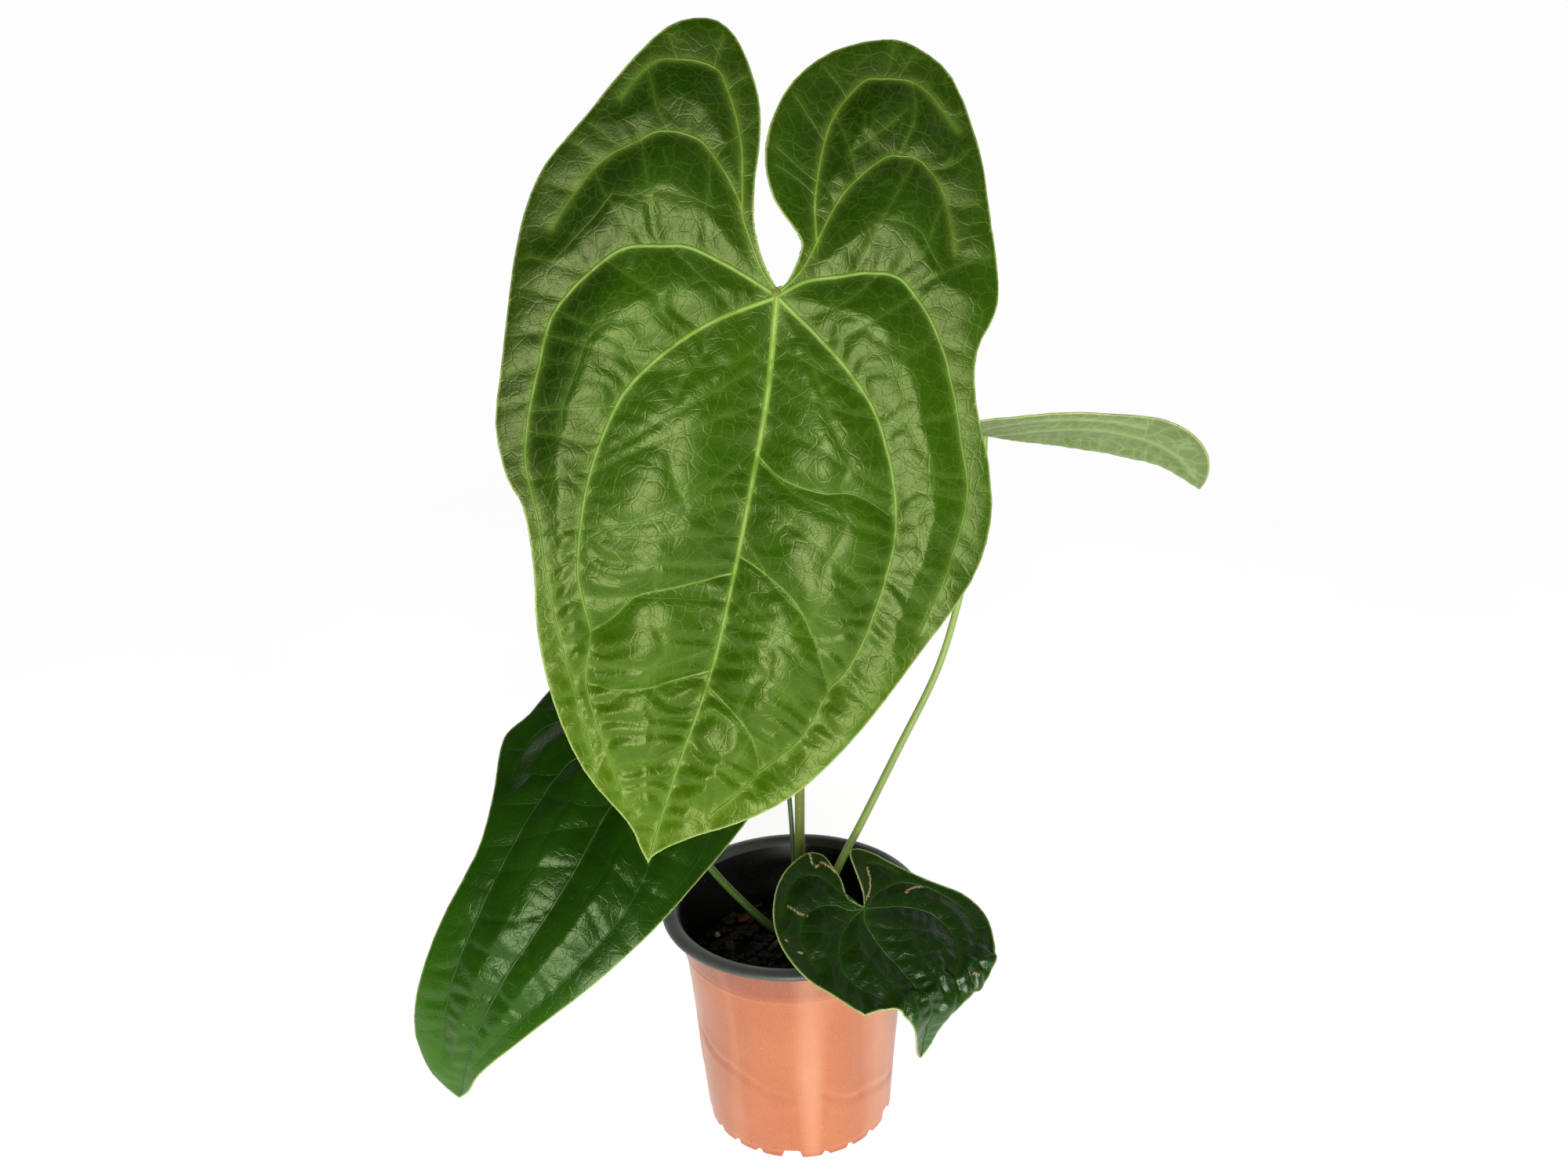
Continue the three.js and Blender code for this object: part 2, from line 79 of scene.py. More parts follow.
# The radius at which distances round the wall are measured, and how finely the pieces are divided.
WALL_MEAN = 58 * MM
POT_STEPS = 300
STEM_STEPS = 48
MIX_RINGS = 26

# Creases pressed into the wall: points of (degrees from the front toward +X, height in mm),
# then how deep and how wide each is in mm.
CREASES = [
    ([(-71, 64), (-59, 58), (-42, 55), (-29, 51), (-15, 45), (-6, 42)], 0.9, 4.5),
    ([(12, 44), (22, 38), (30, 34), (41, 34), (56, 30), (70, 26)], 0.8, 5.0),
    ([(-75, 60), (-77, 39)], 0.7, 4.5),
    ([(120, 50), (150, 58), (185, 47), (215, 52)], 0.8, 6.0),
]
# Broad flats and swells of the thin wall: degrees, height in mm, depth in mm, spread in mm.
DENTS = [(-58, 75, -1.0, 22), (-25, 30, 0.7, 18), (45, 52, -1.1, 20), (10, 85, 0.5, 24), (75, 60, 0.6, 20),
         (160, 70, -1.0, 26), (230, 40, 0.8, 24)]

SOIL_LINE = POT_TOP - 33 * MM
SOIL_MOUND = 5 * MM
MIX_RADIUS = MIX_HIGH[0]
STEM_CENTRE = ((STEM_LOW[0] + STEM_HIGH[0]) / 2, (STEM_LOW[1] + STEM_HIGH[1]) / 2)
STEM_RADIUS = (STEM_HIGH[0] - STEM_LOW[0]) / 2
GAP = 0.3 * MM

# The two softboxes, the second one's share of the first one's power, and half the floor's width.
FRONT_SOFTBOX = {"place": (0.1, -2.0, 0.55), "target": (0, 0, 0.42), "size": 1.1}
TOP_SOFTBOX = {"place": (0.9, -0.1, 1.5), "target": (0, 0, 0.2), "size": 0.6}
TOP_SHARE = 0.012
FLOOR_HALF = 6.0

# ------------------------------------------------------------------ the leaves
# Outlines, veins and bends are in hundredths of the leaf's length: along the midrib from where
# the stalk joins, then across it, left side negative.  A bend is (from, to, degrees) and turns
# the blade away from its face.  "attach" is above the soil line at the pot's middle, in mm.
# "rib_radius" is in mm and "cell" is the spacing of the cross veins in hundredths.  "quilt" scales
# the whole relief, "pleats" the small folds beside the veins, "groove" the dips along cross veins.
LEAVES = [
    {
        "name": "main_leaf", "length": 268, "attach": (3, -60, 374.7),
        "aim": (-0.25, -0.29, -0.92), "face": (0.12, -1, 0.28),
        "left": [(-5, -3.4), (-10.5, -6.3), (-17, -7.6), (-23, -8.1), (-29.5, -9.4), (-35, -12),
                 (-40.5, -16), (-42.3, -21), (-39, -27), (-30.5, -32.3), (-20.5, -37), (-12, -41.5),
                 (-3.5, -43.3), (7, -43), (19, -41.8), (31, -40.5), (39, -36.8), (43.5, -33), (53, -29.4),
                 (62, -27), (73.5, -22), (84.5, -14.5), (93, -5), (97, -2.2)],
        "right": [(-3, 1.2), (-7.8, 2.2), (-10.5, 1.5), (-15.3, -3.9), (-21, -6.7), (-27.6, -7.2),
                  (-36, -5), (-43.7, 0.5), (-48, 8.5), (-48, 14.5), (-44, 21.5), (-33, 28.2), (-23, 32),
                  (-11.5, 36.2), (-6, 36.8), (1, 35.2), (9, 37), (18.8, 42), (28.5, 45), (39.5, 43.8),
                  (56, 36.3), (71, 29), (82, 21.5), (89, 13.2), (93.5, 6), (97.8, 1)],
        "bends": {"droop": [(7, 100, 14)], "lobes": [(4, 48, 16)], "left": [(0, 4, -9), (7, 45, 26)],
                  "right": [(0, 4, -7), (7, 45, 24)]},
        "lean": (0, 0),
        "veins": {
            "midrib": [(0, 0), (15.7, 1.9), (31.7, 2.6), (47, 3), (64, 3), (83, 1.1), (99, 0)],
            "right_1": [(0, 0), (5.2, 8.6), (10.4, 15.7), (16.8, 21.6), (30.2, 28), (42.2, 28.7),
                        (56, 26.9), (63, 23.9), (71.6, 20.9), (79.9, 15.3), (89, 8.5)],
            "left_1": [(0, 0), (5.6, -8.2), (11.2, -14.2), (18.7, -19.8), (25.4, -22.4), (37.3, -23.9),
                       (51.5, -22.4), (61.2, -18.3), (69.8, -17.2), (79.9, -11.9), (90, -6)],
            "right_2": [(0, 0), (-3.7, 4.1), (-5.6, 9), (-7.5, 14.2), (-7.5, 20.1), (-0.7, 27.6),
                        (8.2, 32.8), (17.5, 36.9), (25.4, 39.9), (36.9, 39.6), (50, 37)],
            "left_2": [(0, 0), (-1.9, -5.2), (-4.1, -14.9), (-3.4, -20.1), (-1.5, -26.1), (2.6, -30.2),
                       (10.8, -35.1), (19.4, -35.8), (34, -35.1), (44.4, -30.6), (57.5, -25.7),
                       (73.5, -17.9), (83, -13)],
            "right_3": [(-1, 0.4), (-6.3, 3.4), (-18.7, 6.7), (-26.9, 12.3), (-28.4, 15.7), (-28, 19.4),
                        (-23.1, 24.3), (-14, 28)],
            "left_3": [(-1, -0.4), (-3.6, -3.4), (-9.8, -7.6), (-14.9, -10.4), (-20.9, -16.4), (-22, -20.1),
                       (-21.6, -24.3), (-19.4, -27.6), (-13.1, -34), (-2, -38.6)],
            "right_4": [(-10.5, 4.4), (-18.7, 2.6), (-31, 2.6), (-39.2, 6), (-41.4, 9.7), (-41.4, 16.4),
                        (-35.1, 24.3)],
            "left_4": [(-11.5, -8.6), (-23.1, -11.2), (-32.1, -15.7), (-34.7, -18.7), (-34, -25.7),
                       (-31.3, -29.1), (-25.4, -32.1)],
        },
        "ribs": [
            [(46.6, 2.9), (50.4, -5.2), (53.4, -11.9), (58.2, -15.3), (61.2, -18.3)],
            [(43.3, 2.9), (45.9, 9.3), (48.9, 14.2), (53.7, 18.3), (59, 21.6), (63, 23.9)],
            [(66.8, 2.8), (71.6, 10.4), (75.4, 13.4), (79.9, 15.3)],
            [(26, 2.4), (29, 7), (30, 14), (29, 20), (31, 27)],
            [(64, 3), (68, -5), (70, -12), (70, -17)],
        ],
        "rib_radius": 1.9, "quilt": 1.0, "pleats": 0.5, "cell": 6.6, "groove": 1.1,
    },
    {
        "name": "left_leaf", "length": 207, "attach": (-82, -20, 127),
        "aim": (-0.475, -0.762, -0.44), "face": (-0.15, -0.9, 0.35),
        "left": [(-8, -4), (-18, -8), (-28, -14), (-31, -22), (-26, -31), (-15, -36), (-4, -36), (2, -38.3),
                 (8.5, -37), (26, -27.5), (40, -23.3), (62, -22.5), (84, -18.5), (95, -11), (99, -4)],
        "right": [(-8, 4), (-18, 8), (-28, 13), (-31, 21), (-27, 28), (-17, 32), (-4, 32), (17, 29),
                  (33.5, 25.5), (52, 19), (69, 11), (86, 3.6), (95, 2)],
        "bends": {"droop": [(10, 74, 48), (74, 100, 28)], "lobes": [(3, 35, 25)], "left": [(2, 35, 30)],
                  "right": [(2, 35, 30)]},
        "lean": (0, 0),
        "veins": {
            "midrib": [(0, 0), (14, 0), (30, 1), (46, 0.5), (60, -1), (80, -1.5), (99, 0)],
            "left_1": [(0, 0), (1, -8), (4.2, -15.5), (12.4, -17), (30, -16.5), (50, -15), (70, -13),
                       (88, -8)],
            "right_1": [(0, 0), (6, 9), (18, 16), (34, 17), (52, 13), (70, 6.5), (86, 1.5)],
            "left_2": [(0, 0), (-5, -8), (-8, -18), (-5, -27), (4, -31), (16, -28)],
            "right_2": [(0, 0), (-5, 8), (-7, 17), (-2, 24), (12, 26.5), (30, 23.5)],
            "left_3": [(-2, -1), (-14, -10), (-22, -18), (-20, -27), (-11, -32)],
            "right_3": [(-2, 1), (-14, 10), (-22, 18), (-20, 25), (-11, 29)],
        },
        "ribs": [],
        "rib_radius": 0.9, "quilt": 0.85, "pleats": 0.2, "cell": 11.0, "groove": 1.5,
    },
    {
        "name": "front_leaf", "length": 100, "attach": (38, -50, 56),
        "aim": (0.478, -0.685, -0.55), "face": (0.22, -0.5, 0.84),
        "left": [(-9, -5), (-20, -2.6), (-29, -2.6), (-37, -3.5), (-42, -11), (-39, -25), (-32, -36),
                 (-21, -45), (-9, -50), (4, -51), (19, -48), (34, -40), (48, -32), (51, -20), (57, -14),
                 (68, -10), (85, -6), (96, -3)],
        "right": [(-8, 4), (-19, 7), (-30, 10), (-33, 14), (-29, 20), (-23, 25), (-14, 31), (1, 43),
                  (15, 57), (30, 62), (43, 58), (54, 50), (65, 38), (67, 23), (76, 10), (90, 5)],
        "bends": {"droop": [(52, 72, 77)], "lobes": [(5, 50, 10)], "left": [(5, 50, 8)],
                  "right": [(5, 50, 8)]},
        "lean": (0, 0),
        "veins": {
            "midrib": [(0, 0), (6, -3.6), (22, -3.3), (32, -1.1), (47, 1.3), (57, 4), (75, 1), (98, 0)],
            "left_1": [(0, 0), (1, -8.1), (7, -19.4), (14.4, -25.6), (23.9, -28.8), (33.5, -26.3),
                       (44.7, -18.6)],
            "right_1": [(0, 0), (3, 9), (8, 22), (18, 34), (32, 38), (46, 32), (58, 20)],
            "left_2": [(0, 0), (-3, -7.6), (-9.5, -13.4), (-12.5, -22.4), (-10, -33), (2, -41), (18, -40)],
            "right_2": [(0, 0), (-4, 8), (-6, 18), (-4, 30), (8, 44), (24, 53), (40, 50)],
            "left_3": [(-3, -2), (-16, -7), (-28, -12), (-32, -22), (-27, -33), (-16, -42)],
            "right_3": [(-3, 2), (-13, 9), (-22, 15), (-20, 22), (-10, 30)],
        },
        "ribs": [],
        "rib_radius": 0.7, "quilt": 0.75, "pleats": 0.4, "cell": 11.0, "groove": 1.2,
    },
    {
        "name": "upper_right_leaf", "length": 113, "attach": (108, 10, 295.5),
        "aim": (0.97, -0.2, -0.09), "face": (0.05, 0.2, 0.97),
        "left": [(-8, -5), (-20, -10), (-30, -14), (-35, -22), (-31, -31), (-18, -36), (0, -37), (13, -36),
                 (26, -36), (39, -35), (52, -33), (62, -32), (73, -30), (84, -25), (92, -18), (98, -8)],
        "right": [(-8, 5), (-20, 9), (-30, 13), (-35, 20), (-31, 28), (-18, 33), (0, 34), (13, 34),
                  (26, 34), (39, 33), (52, 31), (62, 28), (73, 24), (84, 18), (92, 12), (98, 5)],
        "bends": {"droop": [(15, 60, 6), (68, 100, 34)], "lobes": [(4, 45, 20)], "left": [(0, 5, -9)],
                  "right": [(0, 5, -9)]},
        "lean": (-34, 0),
        "veins": {
            "midrib": [(0, 0), (50, 0.5), (98, 0)],
            "left_1": [(0, 0), (8, -10), (22, -18), (42, -21), (62, -18), (82, -11), (94, -4)],
            "right_1": [(0, 0), (8, 10), (22, 18), (42, 20), (62, 16), (82, 9), (94, 3)],
            "left_2": [(0, 0), (-4, -10), (-2, -20), (8, -28), (26, -31), (48, -29), (66, -25)],
            "right_2": [(0, 0), (-4, 9), (-2, 19), (8, 27), (26, 29), (48, 26), (62, 22)],
            "left_3": [(-2, -1), (-12, -8), (-22, -16), (-24, -23), (-16, -30), (-4, -33)],
            "right_3": [(-2, 1), (-12, 8), (-22, 15), (-24, 21), (-16, 28), (-4, 31)],
        },
        "ribs": [],
        "rib_radius": 0.8, "quilt": 0.5, "pleats": 0.4, "cell": 7.5, "groove": 1.0,
    },
    {
        "name": "rear_leaf", "length": 108, "attach": (-12, 45, 191),
        "aim": (0.6, 0.16, -0.78), "face": (-0.1, -0.97, 0.2),
        "left": [(-8, -4), (-20, -8), (-30, -13), (-34, -21), (-29, -30), (-14, -35), (5, -35), (25, -33),
                 (45, -28), (65, -20), (82, -11), (94, -4)],
        "right": [(-8, 4), (-20, 8), (-30, 13), (-34, 21), (-29, 30), (-14, 35), (5, 35), (25, 33),
                  (45, 28), (65, 20), (82, 11), (94, 4)],
        "bends": {"droop": [(20, 100, 20)], "lobes": [(4, 40, 14)], "left": [(0, 5, -8), (10, 36, 16)],
                  "right": [(0, 5, -8), (10, 36, 16)]},
        "lean": (0, 0),
        "veins": {
            "midrib": [(0, 0), (50, 0.5), (98, 0)],
            "left_1": [(0, 0), (8, -10), (22, -18), (42, -19), (62, -14), (82, -7)],
            "right_1": [(0, 0), (8, 10), (22, 18), (42, 19), (62, 14), (82, 7)],
            "left_2": [(0, 0), (-4, -10), (-2, -20), (8, -28), (26, -28), (44, -23)],
            "right_2": [(0, 0), (-4, 10), (-2, 20), (8, 28), (26, 28), (44, 23)],
            "left_3": [(-2, -1), (-12, -8), (-22, -16), (-24, -23), (-16, -30), (-4, -32)],
            "right_3": [(-2, 1), (-12, 8), (-22, 16), (-24, 23), (-16, 30), (-4, 32)],
        },
        "ribs": [],
        "rib_radius": 0.75, "quilt": 0.5, "pleats": 0.3, "cell": 8.0, "groove": 1.2,
    },
]

# Dry scars and specks on the front leaf, each a line of points in hundredths and its half width.
SCARS = [
    ([(-41.7, -9.7), (-36, -11), (-32.8, -10.6), (-33.3, -6.5), (-29, -4), (-25, -3.4)], 0.45),
    ([(-20.3, -36.2), (-14.3, -33.5), (-10.6, -29.4)], 0.5),
    ([(-20.1, 15.4), (-13.3, 12.8), (-7.8, 8.6), (-4, 3.5)], 0.5),
    ([(1.8, 26), (0.8, 32.5), (2.4, 38.4)], 0.6),
    ([(-4.3, -47.6), (-3.4, -46.9)], 0.45),
    ([(4.5, -44.3), (5.6, -42.6)], 0.5),
    ([(56, 34), (58, 35.4)], 0.5),
]

# Stalks: direction round the stem in degrees, radii in mm at the foot and at the blade, and the
# points between them in mm, heights above the soil line.
STALKS = {
    "main_leaf": (82, (2.9, 2.6), [(5, 7, 59), (6, 6, 97), (7, 4, 155), (6, -2, 263), (5, -22, 338)]),
    "left_leaf": (226, (2.3, 2.0), [(-13, -4, 17), (-30, -6, 37), (-47, -9, 62), (-67, -13, 99)]),
    "front_leaf": (298, (2.0, 1.8), [(15, -14, 17), (28, -34, 37)]),
    "upper_right_leaf": (10, (2.5, 1.6), [(27, 1, 52), (41, 2, 80), (61, 4, 121), (83, 6, 167), (95, 7, 208),
                                          (106, 8, 258)]),
    "rear_leaf": (154, (1.5, 1.25), [(1, 11, 48), (0, 21, 87), (-4, 48, 118), (-9, 66, 150), (-12, 62, 180)]),
}
CROWN_RING = 6.3 * MM
LAUNCH = 5 * MM
# Spacing of the points along a vein in hundredths of the leaf's length, the length in mm that the
# relief is written for, and how often a blade is divided again.
VEIN_STEP = 0.2
LARGEST_LEAF = 268
BLADE_LEVELS = 3
# Relief of the upper face: each height in units of the leaf's own quilt, and how far from its vein
# or rim it reaches on the largest leaf.
SHOULDER_HEIGHT, SHOULDER_REACH = 2.1, 9 * MM
DOME_HEIGHT, DOME_REACH = 3.9, 18 * MM
RIB_DIP, RIB_REACH = 4.0, 7 * MM
GROOVE_REACH = 4.5 * MM
PLEAT_PITCH, PLEAT_REACH, PLEAT_START = 10 * MM, 14 * MM, 2.5 * MM
RIM_PLEATS, INNER_REACH, TIP_PLEATS = 0.35, 30 * MM, 2.2
WOBBLE_HEIGHT, FINE_HEIGHT, LEVEL = 1.1, 0.1, 3.4
RIM_SHARE, RIM_REACH = 0.12, 11 * MM
RIPPLE_HEIGHT, RIPPLE_PITCH, RIPPLE_REACH = 0.2, 8 * MM, 10 * MM
TIP_SWELL = 0.35


# ------------------------------------------------------------------ shared helpers
def on_ring(radius, degrees):
    """A point on a circle about the origin."""
    angle = math.radians(degrees)
    return radius * math.cos(angle), radius * math.sin(angle)


def smooth(points, steps):
    """Points along a smooth curve through the given ones."""
    p = np.array([points[0], *points, points[-1]], float)
    t = np.linspace(0, 1, steps, endpoint=False)[:, None]
    runs = []
    for a, b, c, d in zip(p, p[1:], p[2:], p[3:]):
        v0, v1 = (c - a) / 2, (d - b) / 2
        runs.append((2 * b - 2 * c + v0 + v1) * t**3 + (-3 * b + 3 * c - 2 * v0 - v1) * t**2 + v0 * t + b)
    return np.vstack([*runs, p[-1:]])


def along(points, spacing):
    """The same line with points at an even spacing."""
    points = np.asarray(points, float)
    steps = np.linalg.norm(np.diff(points, axis=0), axis=1)
    reach = np.concatenate([[0], np.cumsum(steps)])
    count = max(2, int(round(reach[-1] / spacing)) + 1)
    places = np.linspace(0, reach[-1], count)
    return np.stack([np.interp(places, reach, points[:, i]) for i in range(points.shape[1])], axis=1)


def nearest(points, samples):
    """For each point, the distance to the nearest sample and that sample's index."""
    tree = kdtree.KDTree(len(samples))
    for i, (x, y) in enumerate(samples):
        tree.insert((x, y, 0), i)
    tree.balance()
    found = [tree.find((x, y, 0)) for x, y in points]
    return np.array([f[2] for f in found]), np.array([f[1] for f in found])


def rise_to_one(distance, width):
    """0 on the line, 1 far from it, with a round start and end."""
    return 1 - np.exp(-((distance / width) ** 1.6))


def link_object(name, mesh, *materials):
    """A new object at the origin that rides on the one body of the part."""
    for material in materials:
        mesh.materials.append(material)
    obj = bpy.data.objects.new(name, mesh)
    bpy.context.scene.collection.objects.link(obj)
    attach(obj, "root")
    return obj


def mesh_from(bm, name, shade_smooth=True):
    """Turns a bmesh into a mesh and frees it."""
    mesh = bpy.data.meshes.new(name)
    bm.to_mesh(mesh)
    bm.free()
    mesh.polygons.foreach_set("use_smooth", [shade_smooth] * len(mesh.polygons))
    return mesh


def spun(profile, steps):
    """A skin turned about the upright axis from a line of points."""
    bm = bmesh.new()
    verts = [bm.verts.new(point) for point in profile]
    edges = [bm.edges.new(pair) for pair in zip(verts, verts[1:])]
    bmesh.ops.spin(bm, geom=verts + edges, cent=(0, 0, 0), axis=(0, 0, 1), angle=2 * math.pi, steps=steps,
                   use_merge=True)
    bmesh.ops.remove_doubles(bm, verts=bm.verts[:], dist=1e-6)
    return bm


def vertex_array(mesh):
    """The mesh's vertex positions as rows."""
    flat = np.empty(len(mesh.vertices) * 3)
    mesh.vertices.foreach_get("co", flat)
    return flat.reshape(-1, 3)


def set_vertices(mesh, points):
    """Moves the mesh's vertices to these positions."""
    mesh.vertices.foreach_set("co", np.asarray(points, float).ravel())
    mesh.update()


def set_attribute(mesh, name, values):
    """Stores one number per vertex for the materials to read."""
    layer = mesh.attributes.new(name, "FLOAT", "POINT")
    layer.data.foreach_set("value", np.asarray(values, np.float32))


def evaluated(mesh, *modifiers):
    """A copy of the mesh with (type, settings) modifiers applied."""
    obj = bpy.data.objects.new("workpiece", mesh)
    bpy.context.scene.collection.objects.link(obj)
    for kind, settings in modifiers:
        modifier = obj.modifiers.new(kind, kind)
        for key, value in settings.items():
            setattr(modifier, key, value)
    bpy.context.view_layer.update()
    result = bpy.data.meshes.new_from_object(obj.evaluated_get(bpy.context.evaluated_depsgraph_get()))
    bpy.data.objects.remove(obj)
    return result


def tube_mesh(lines, sides=2):
    """Round rods along lines of (points, radii), as one mesh."""
    curve = bpy.data.curves.new("rods", "CURVE")
    curve.dimensions = "3D"
    curve.bevel_depth = 1.0
    curve.bevel_resolution = sides
    curve.use_fill_caps = True
    for points, radii in lines:
        spline = curve.splines.new("POLY")
        spline.points.add(len(points) - 1)
        rows = np.column_stack([points, np.ones(len(points))])
        spline.points.foreach_set("co", rows.ravel())
        spline.points.foreach_set("radius", np.asarray(radii, float))
    obj = bpy.data.objects.new("rods", curve)
    bpy.context.scene.collection.objects.link(obj)
    bpy.context.view_layer.update()
    mesh = bpy.data.meshes.new_from_object(obj.evaluated_get(bpy.context.evaluated_depsgraph_get()))
    bpy.data.objects.remove(obj)
    bpy.data.curves.remove(curve)
    mesh.materials.clear()
    mesh.polygons.foreach_set("use_smooth", [True] * len(mesh.polygons))
    return mesh


# ------------------------------------------------------------------ shader helpers
def feed(tree, node, **inputs):
    """Sets a node's inputs, by name or by _number; one given as a socket is linked."""
    for key, value in inputs.items():
        socket = node.inputs[int(key[1:])] if key[0] == "_" else node.inputs[key.replace("_", " ")]
        if isinstance(value, bpy.types.NodeSocket):
            tree.links.new(value, socket)
        else:
            socket.default_value = value


def add_node(tree, kind, settings=None, **inputs):
    """Adds a node with its settings and inputs."""
    made = tree.nodes.new(kind)
    for key, value in (settings or {}).items():
        setattr(made, key, value)
    feed(tree, made, **inputs)
    return made


def mix_colour(tree, share, a, b):
    """Colour a turning into colour b as share goes from 0 to 1."""
    made = add_node(tree, "ShaderNodeMix", {"data_type": "RGBA"}, _0=share, _6=a, _7=b)
    return made.outputs[2]


def maths(tree, operation, a, b):
    """One arithmetic step."""
    return add_node(tree, "ShaderNodeMath", {"operation": operation}, _0=a, _1=b).outputs[0]


def times(tree, a, b):
    """a times b."""
    return maths(tree, "MULTIPLY", a, b)


def plus(tree, a, b):
    """a plus b."""
    return maths(tree, "ADD", a, b)


def ranged(tree, value, low, high, to_low=0.0, to_high=1.0):
    """Stretches low..high to to_low..to_high, clamped."""
    made = add_node(tree, "ShaderNodeMapRange", None, _0=value, _1=low, _2=high, _3=to_low, _4=to_high)
    return made.outputs[0]


def noise_at(tree, vector, scale, detail=3.0, roughness=0.5):
    """Plain noise, 0 to 1."""
    made = add_node(tree, "ShaderNodeTexNoise", None, Vector=vector, Scale=scale, Detail=detail,
                    Roughness=roughness)
    return made.outputs["Fac"]


def stretched(tree, vector, *scale):
    """Coordinates scaled by a different amount along each axis."""
    return add_node(tree, "ShaderNodeMapping", None, Vector=vector, Scale=scale).outputs[0]


def bumped(tree, shader, strength, distance, height):
    """Gives the shader a fine relief."""
    bump = add_node(tree, "ShaderNodeBump", None, Strength=strength, Distance=distance, Height=height)
    feed(tree, shader, Normal=bump.outputs[0])


def dimmed(colour, share):
    """A colour multiplied by a share."""
    return tuple(v * share for v in colour[:3]) + (1,)


def attribute(tree, name):
    """The number stored on the mesh under this name."""
    return add_node(tree, "ShaderNodeAttribute", {"attribute_name": name}).outputs["Fac"]


def object_place(tree):
    """Object coordinates."""
    return tree.nodes.new("ShaderNodeTexCoord").outputs["Object"]


def new_material(name):
    """An empty node material: its tree and its surface shader."""
    material = bpy.data.materials.new(name)
    material.use_nodes = True
    tree = material.node_tree
    return material, tree, tree.nodes["Principled BSDF"], tree.nodes["Material Output"]


def rgb(*levels):
    """A colour given as 0 to 255 screen levels, in linear light."""
    return (*[((v / 255 + 0.055) / 1.055) ** 2.4 if v > 10 else v / 255 / 12.92 for v in levels], 1.0)


def make_group(name, inputs, outputs, build):
    """A shader node group with named sockets, built once."""
    if name in bpy.data.node_groups:
        return bpy.data.node_groups[name]
    tree = bpy.data.node_groups.new(name, "ShaderNodeTree")
    for label, kind, default in inputs:
        socket = tree.interface.new_socket(label, in_out="INPUT", socket_type=kind)
        if default is not None:
            socket.default_value = default
    for label, kind in outputs:
        tree.interface.new_socket(label, in_out="OUTPUT", socket_type=kind)
    source = tree.nodes.new("NodeGroupInput")
    target = tree.nodes.new("NodeGroupOutput")
    for label, socket in build(tree, source.outputs).items():
        tree.links.new(socket, target.inputs[label])
    return tree


def use_group(tree, group, **inputs):
    """Places a node group."""
    return add_node(tree, "ShaderNodeGroup", {"node_tree": group}, **inputs).outputs


def leaf_network_group():
    """The fine net of small veins that a leaf's flat coordinates carry."""

    def build(tree, given):
        wander = add_node(tree, "ShaderNodeTexNoise", None, Vector=given["Place"], Scale=60.0, Detail=2.0)
        moved = add_node(tree, "ShaderNodeVectorMath", {"operation": "MULTIPLY_ADD"},
                         _0=wander.outputs["Color"], _1=(0.003, 0.003, 0.0), _2=given["Place"]).outputs[0]
        lines = []
        for scale, thin, thick in ((150.0, 0.01, 0.07), (420.0, 0.02, 0.12)):
            edge = add_node(tree, "ShaderNodeTexVoronoi", {"feature": "DISTANCE_TO_EDGE"},
                            Vector=moved, Scale=scale)
            lines.append(ranged(tree, edge.outputs["Distance"], thin, thick, 1.0, 0.0))
        cells = add_node(tree, "ShaderNodeTexVoronoi", {"feature": "F1"}, Vector=moved, Scale=150.0)
        tone = add_node(tree, "ShaderNodeSeparateColor", None, Color=cells.outputs["Color"]).outputs[0]
        height = plus(tree, times(tree, lines[0], -0.7), times(tree, lines[1], -0.3))
        return {"Net": lines[0], "Fine net": lines[1], "Cell tone": tone, "Height": height}

    outputs = [(label, "NodeSocketFloat") for label in ("Net", "Fine net", "Cell tone", "Height")]
    return make_group("leaf network", [("Place", "NodeSocketVector", None)], outputs, build)


def speckle_group():
    """Soft blotches with a few small specks, on any surface."""

    def build(tree, given):
        broad = noise_at(tree, given["Place"], given["Scale"], 4.0, 0.6)
        specks = noise_at(tree, given["Place"], times(tree, given["Scale"], 22.0), 1.0)
        dots = ranged(tree, specks, 0.69, 0.74)
        return {"Blotch": ranged(tree, broad, 0.3, 0.7), "Specks": dots}

    inputs = [("Place", "NodeSocketVector", None), ("Scale", "NodeSocketFloat", 20.0)]
    return make_group("blotch and specks", inputs,
                      [("Blotch", "NodeSocketFloat"), ("Specks", "NodeSocketFloat")], build)


# ------------------------------------------------------------------ materials
def leaf_tones(painted_shade, deep, light, young, vein, under, sheen, rough):
    """One leaf's colours: its upper face from its painted shade tone through its deep and light
    tones to its painted glow tone, its veins, its underside, the tint of its shine, and how rough it is."""
    tones = {"painted_shade": painted_shade, "deep": deep, "light": light, "young": young, "vein": vein, "under": under}
    return {**{key: rgb(*levels) for key, levels in tones.items()}, "sheen": (*sheen, 1.0), "rough": rough}


LEAF_TONES = {
    "main_leaf": leaf_tones((17, 46, 0), (36, 71, 0), (56, 95, 0), (79, 112, 0), (146, 182, 66),
                            (112, 142, 74), (0.9, 1.0, 0.42), 0.28),
    "left_leaf": leaf_tones((8, 34, 0), (14, 44, 1), (36, 76, 6), (58, 108, 14), (46, 84, 18),
                            (92, 124, 62), (0.6, 0.75, 0.4), 0.2),
    "front_leaf": leaf_tones((8, 28, 0), (10, 34, 0), (24, 56, 4), (48, 90, 12), (54, 92, 24),
                             (88, 124, 58), (0.95, 1.0, 0.9), 0.22),
    "upper_right_leaf": leaf_tones((34, 66, 18), (58, 92, 34), (92, 122, 62), (140, 166, 90),
                                   (176, 200, 130), (116, 136, 80), (0.9, 1.0, 0.8), 0.3),
    "rear_leaf": leaf_tones((40, 70, 28), (60, 92, 44), (96, 124, 74), (130, 152, 100),
                            (160, 180, 130), (140, 160, 118), (0.9, 1.0, 0.8), 0.34),
}
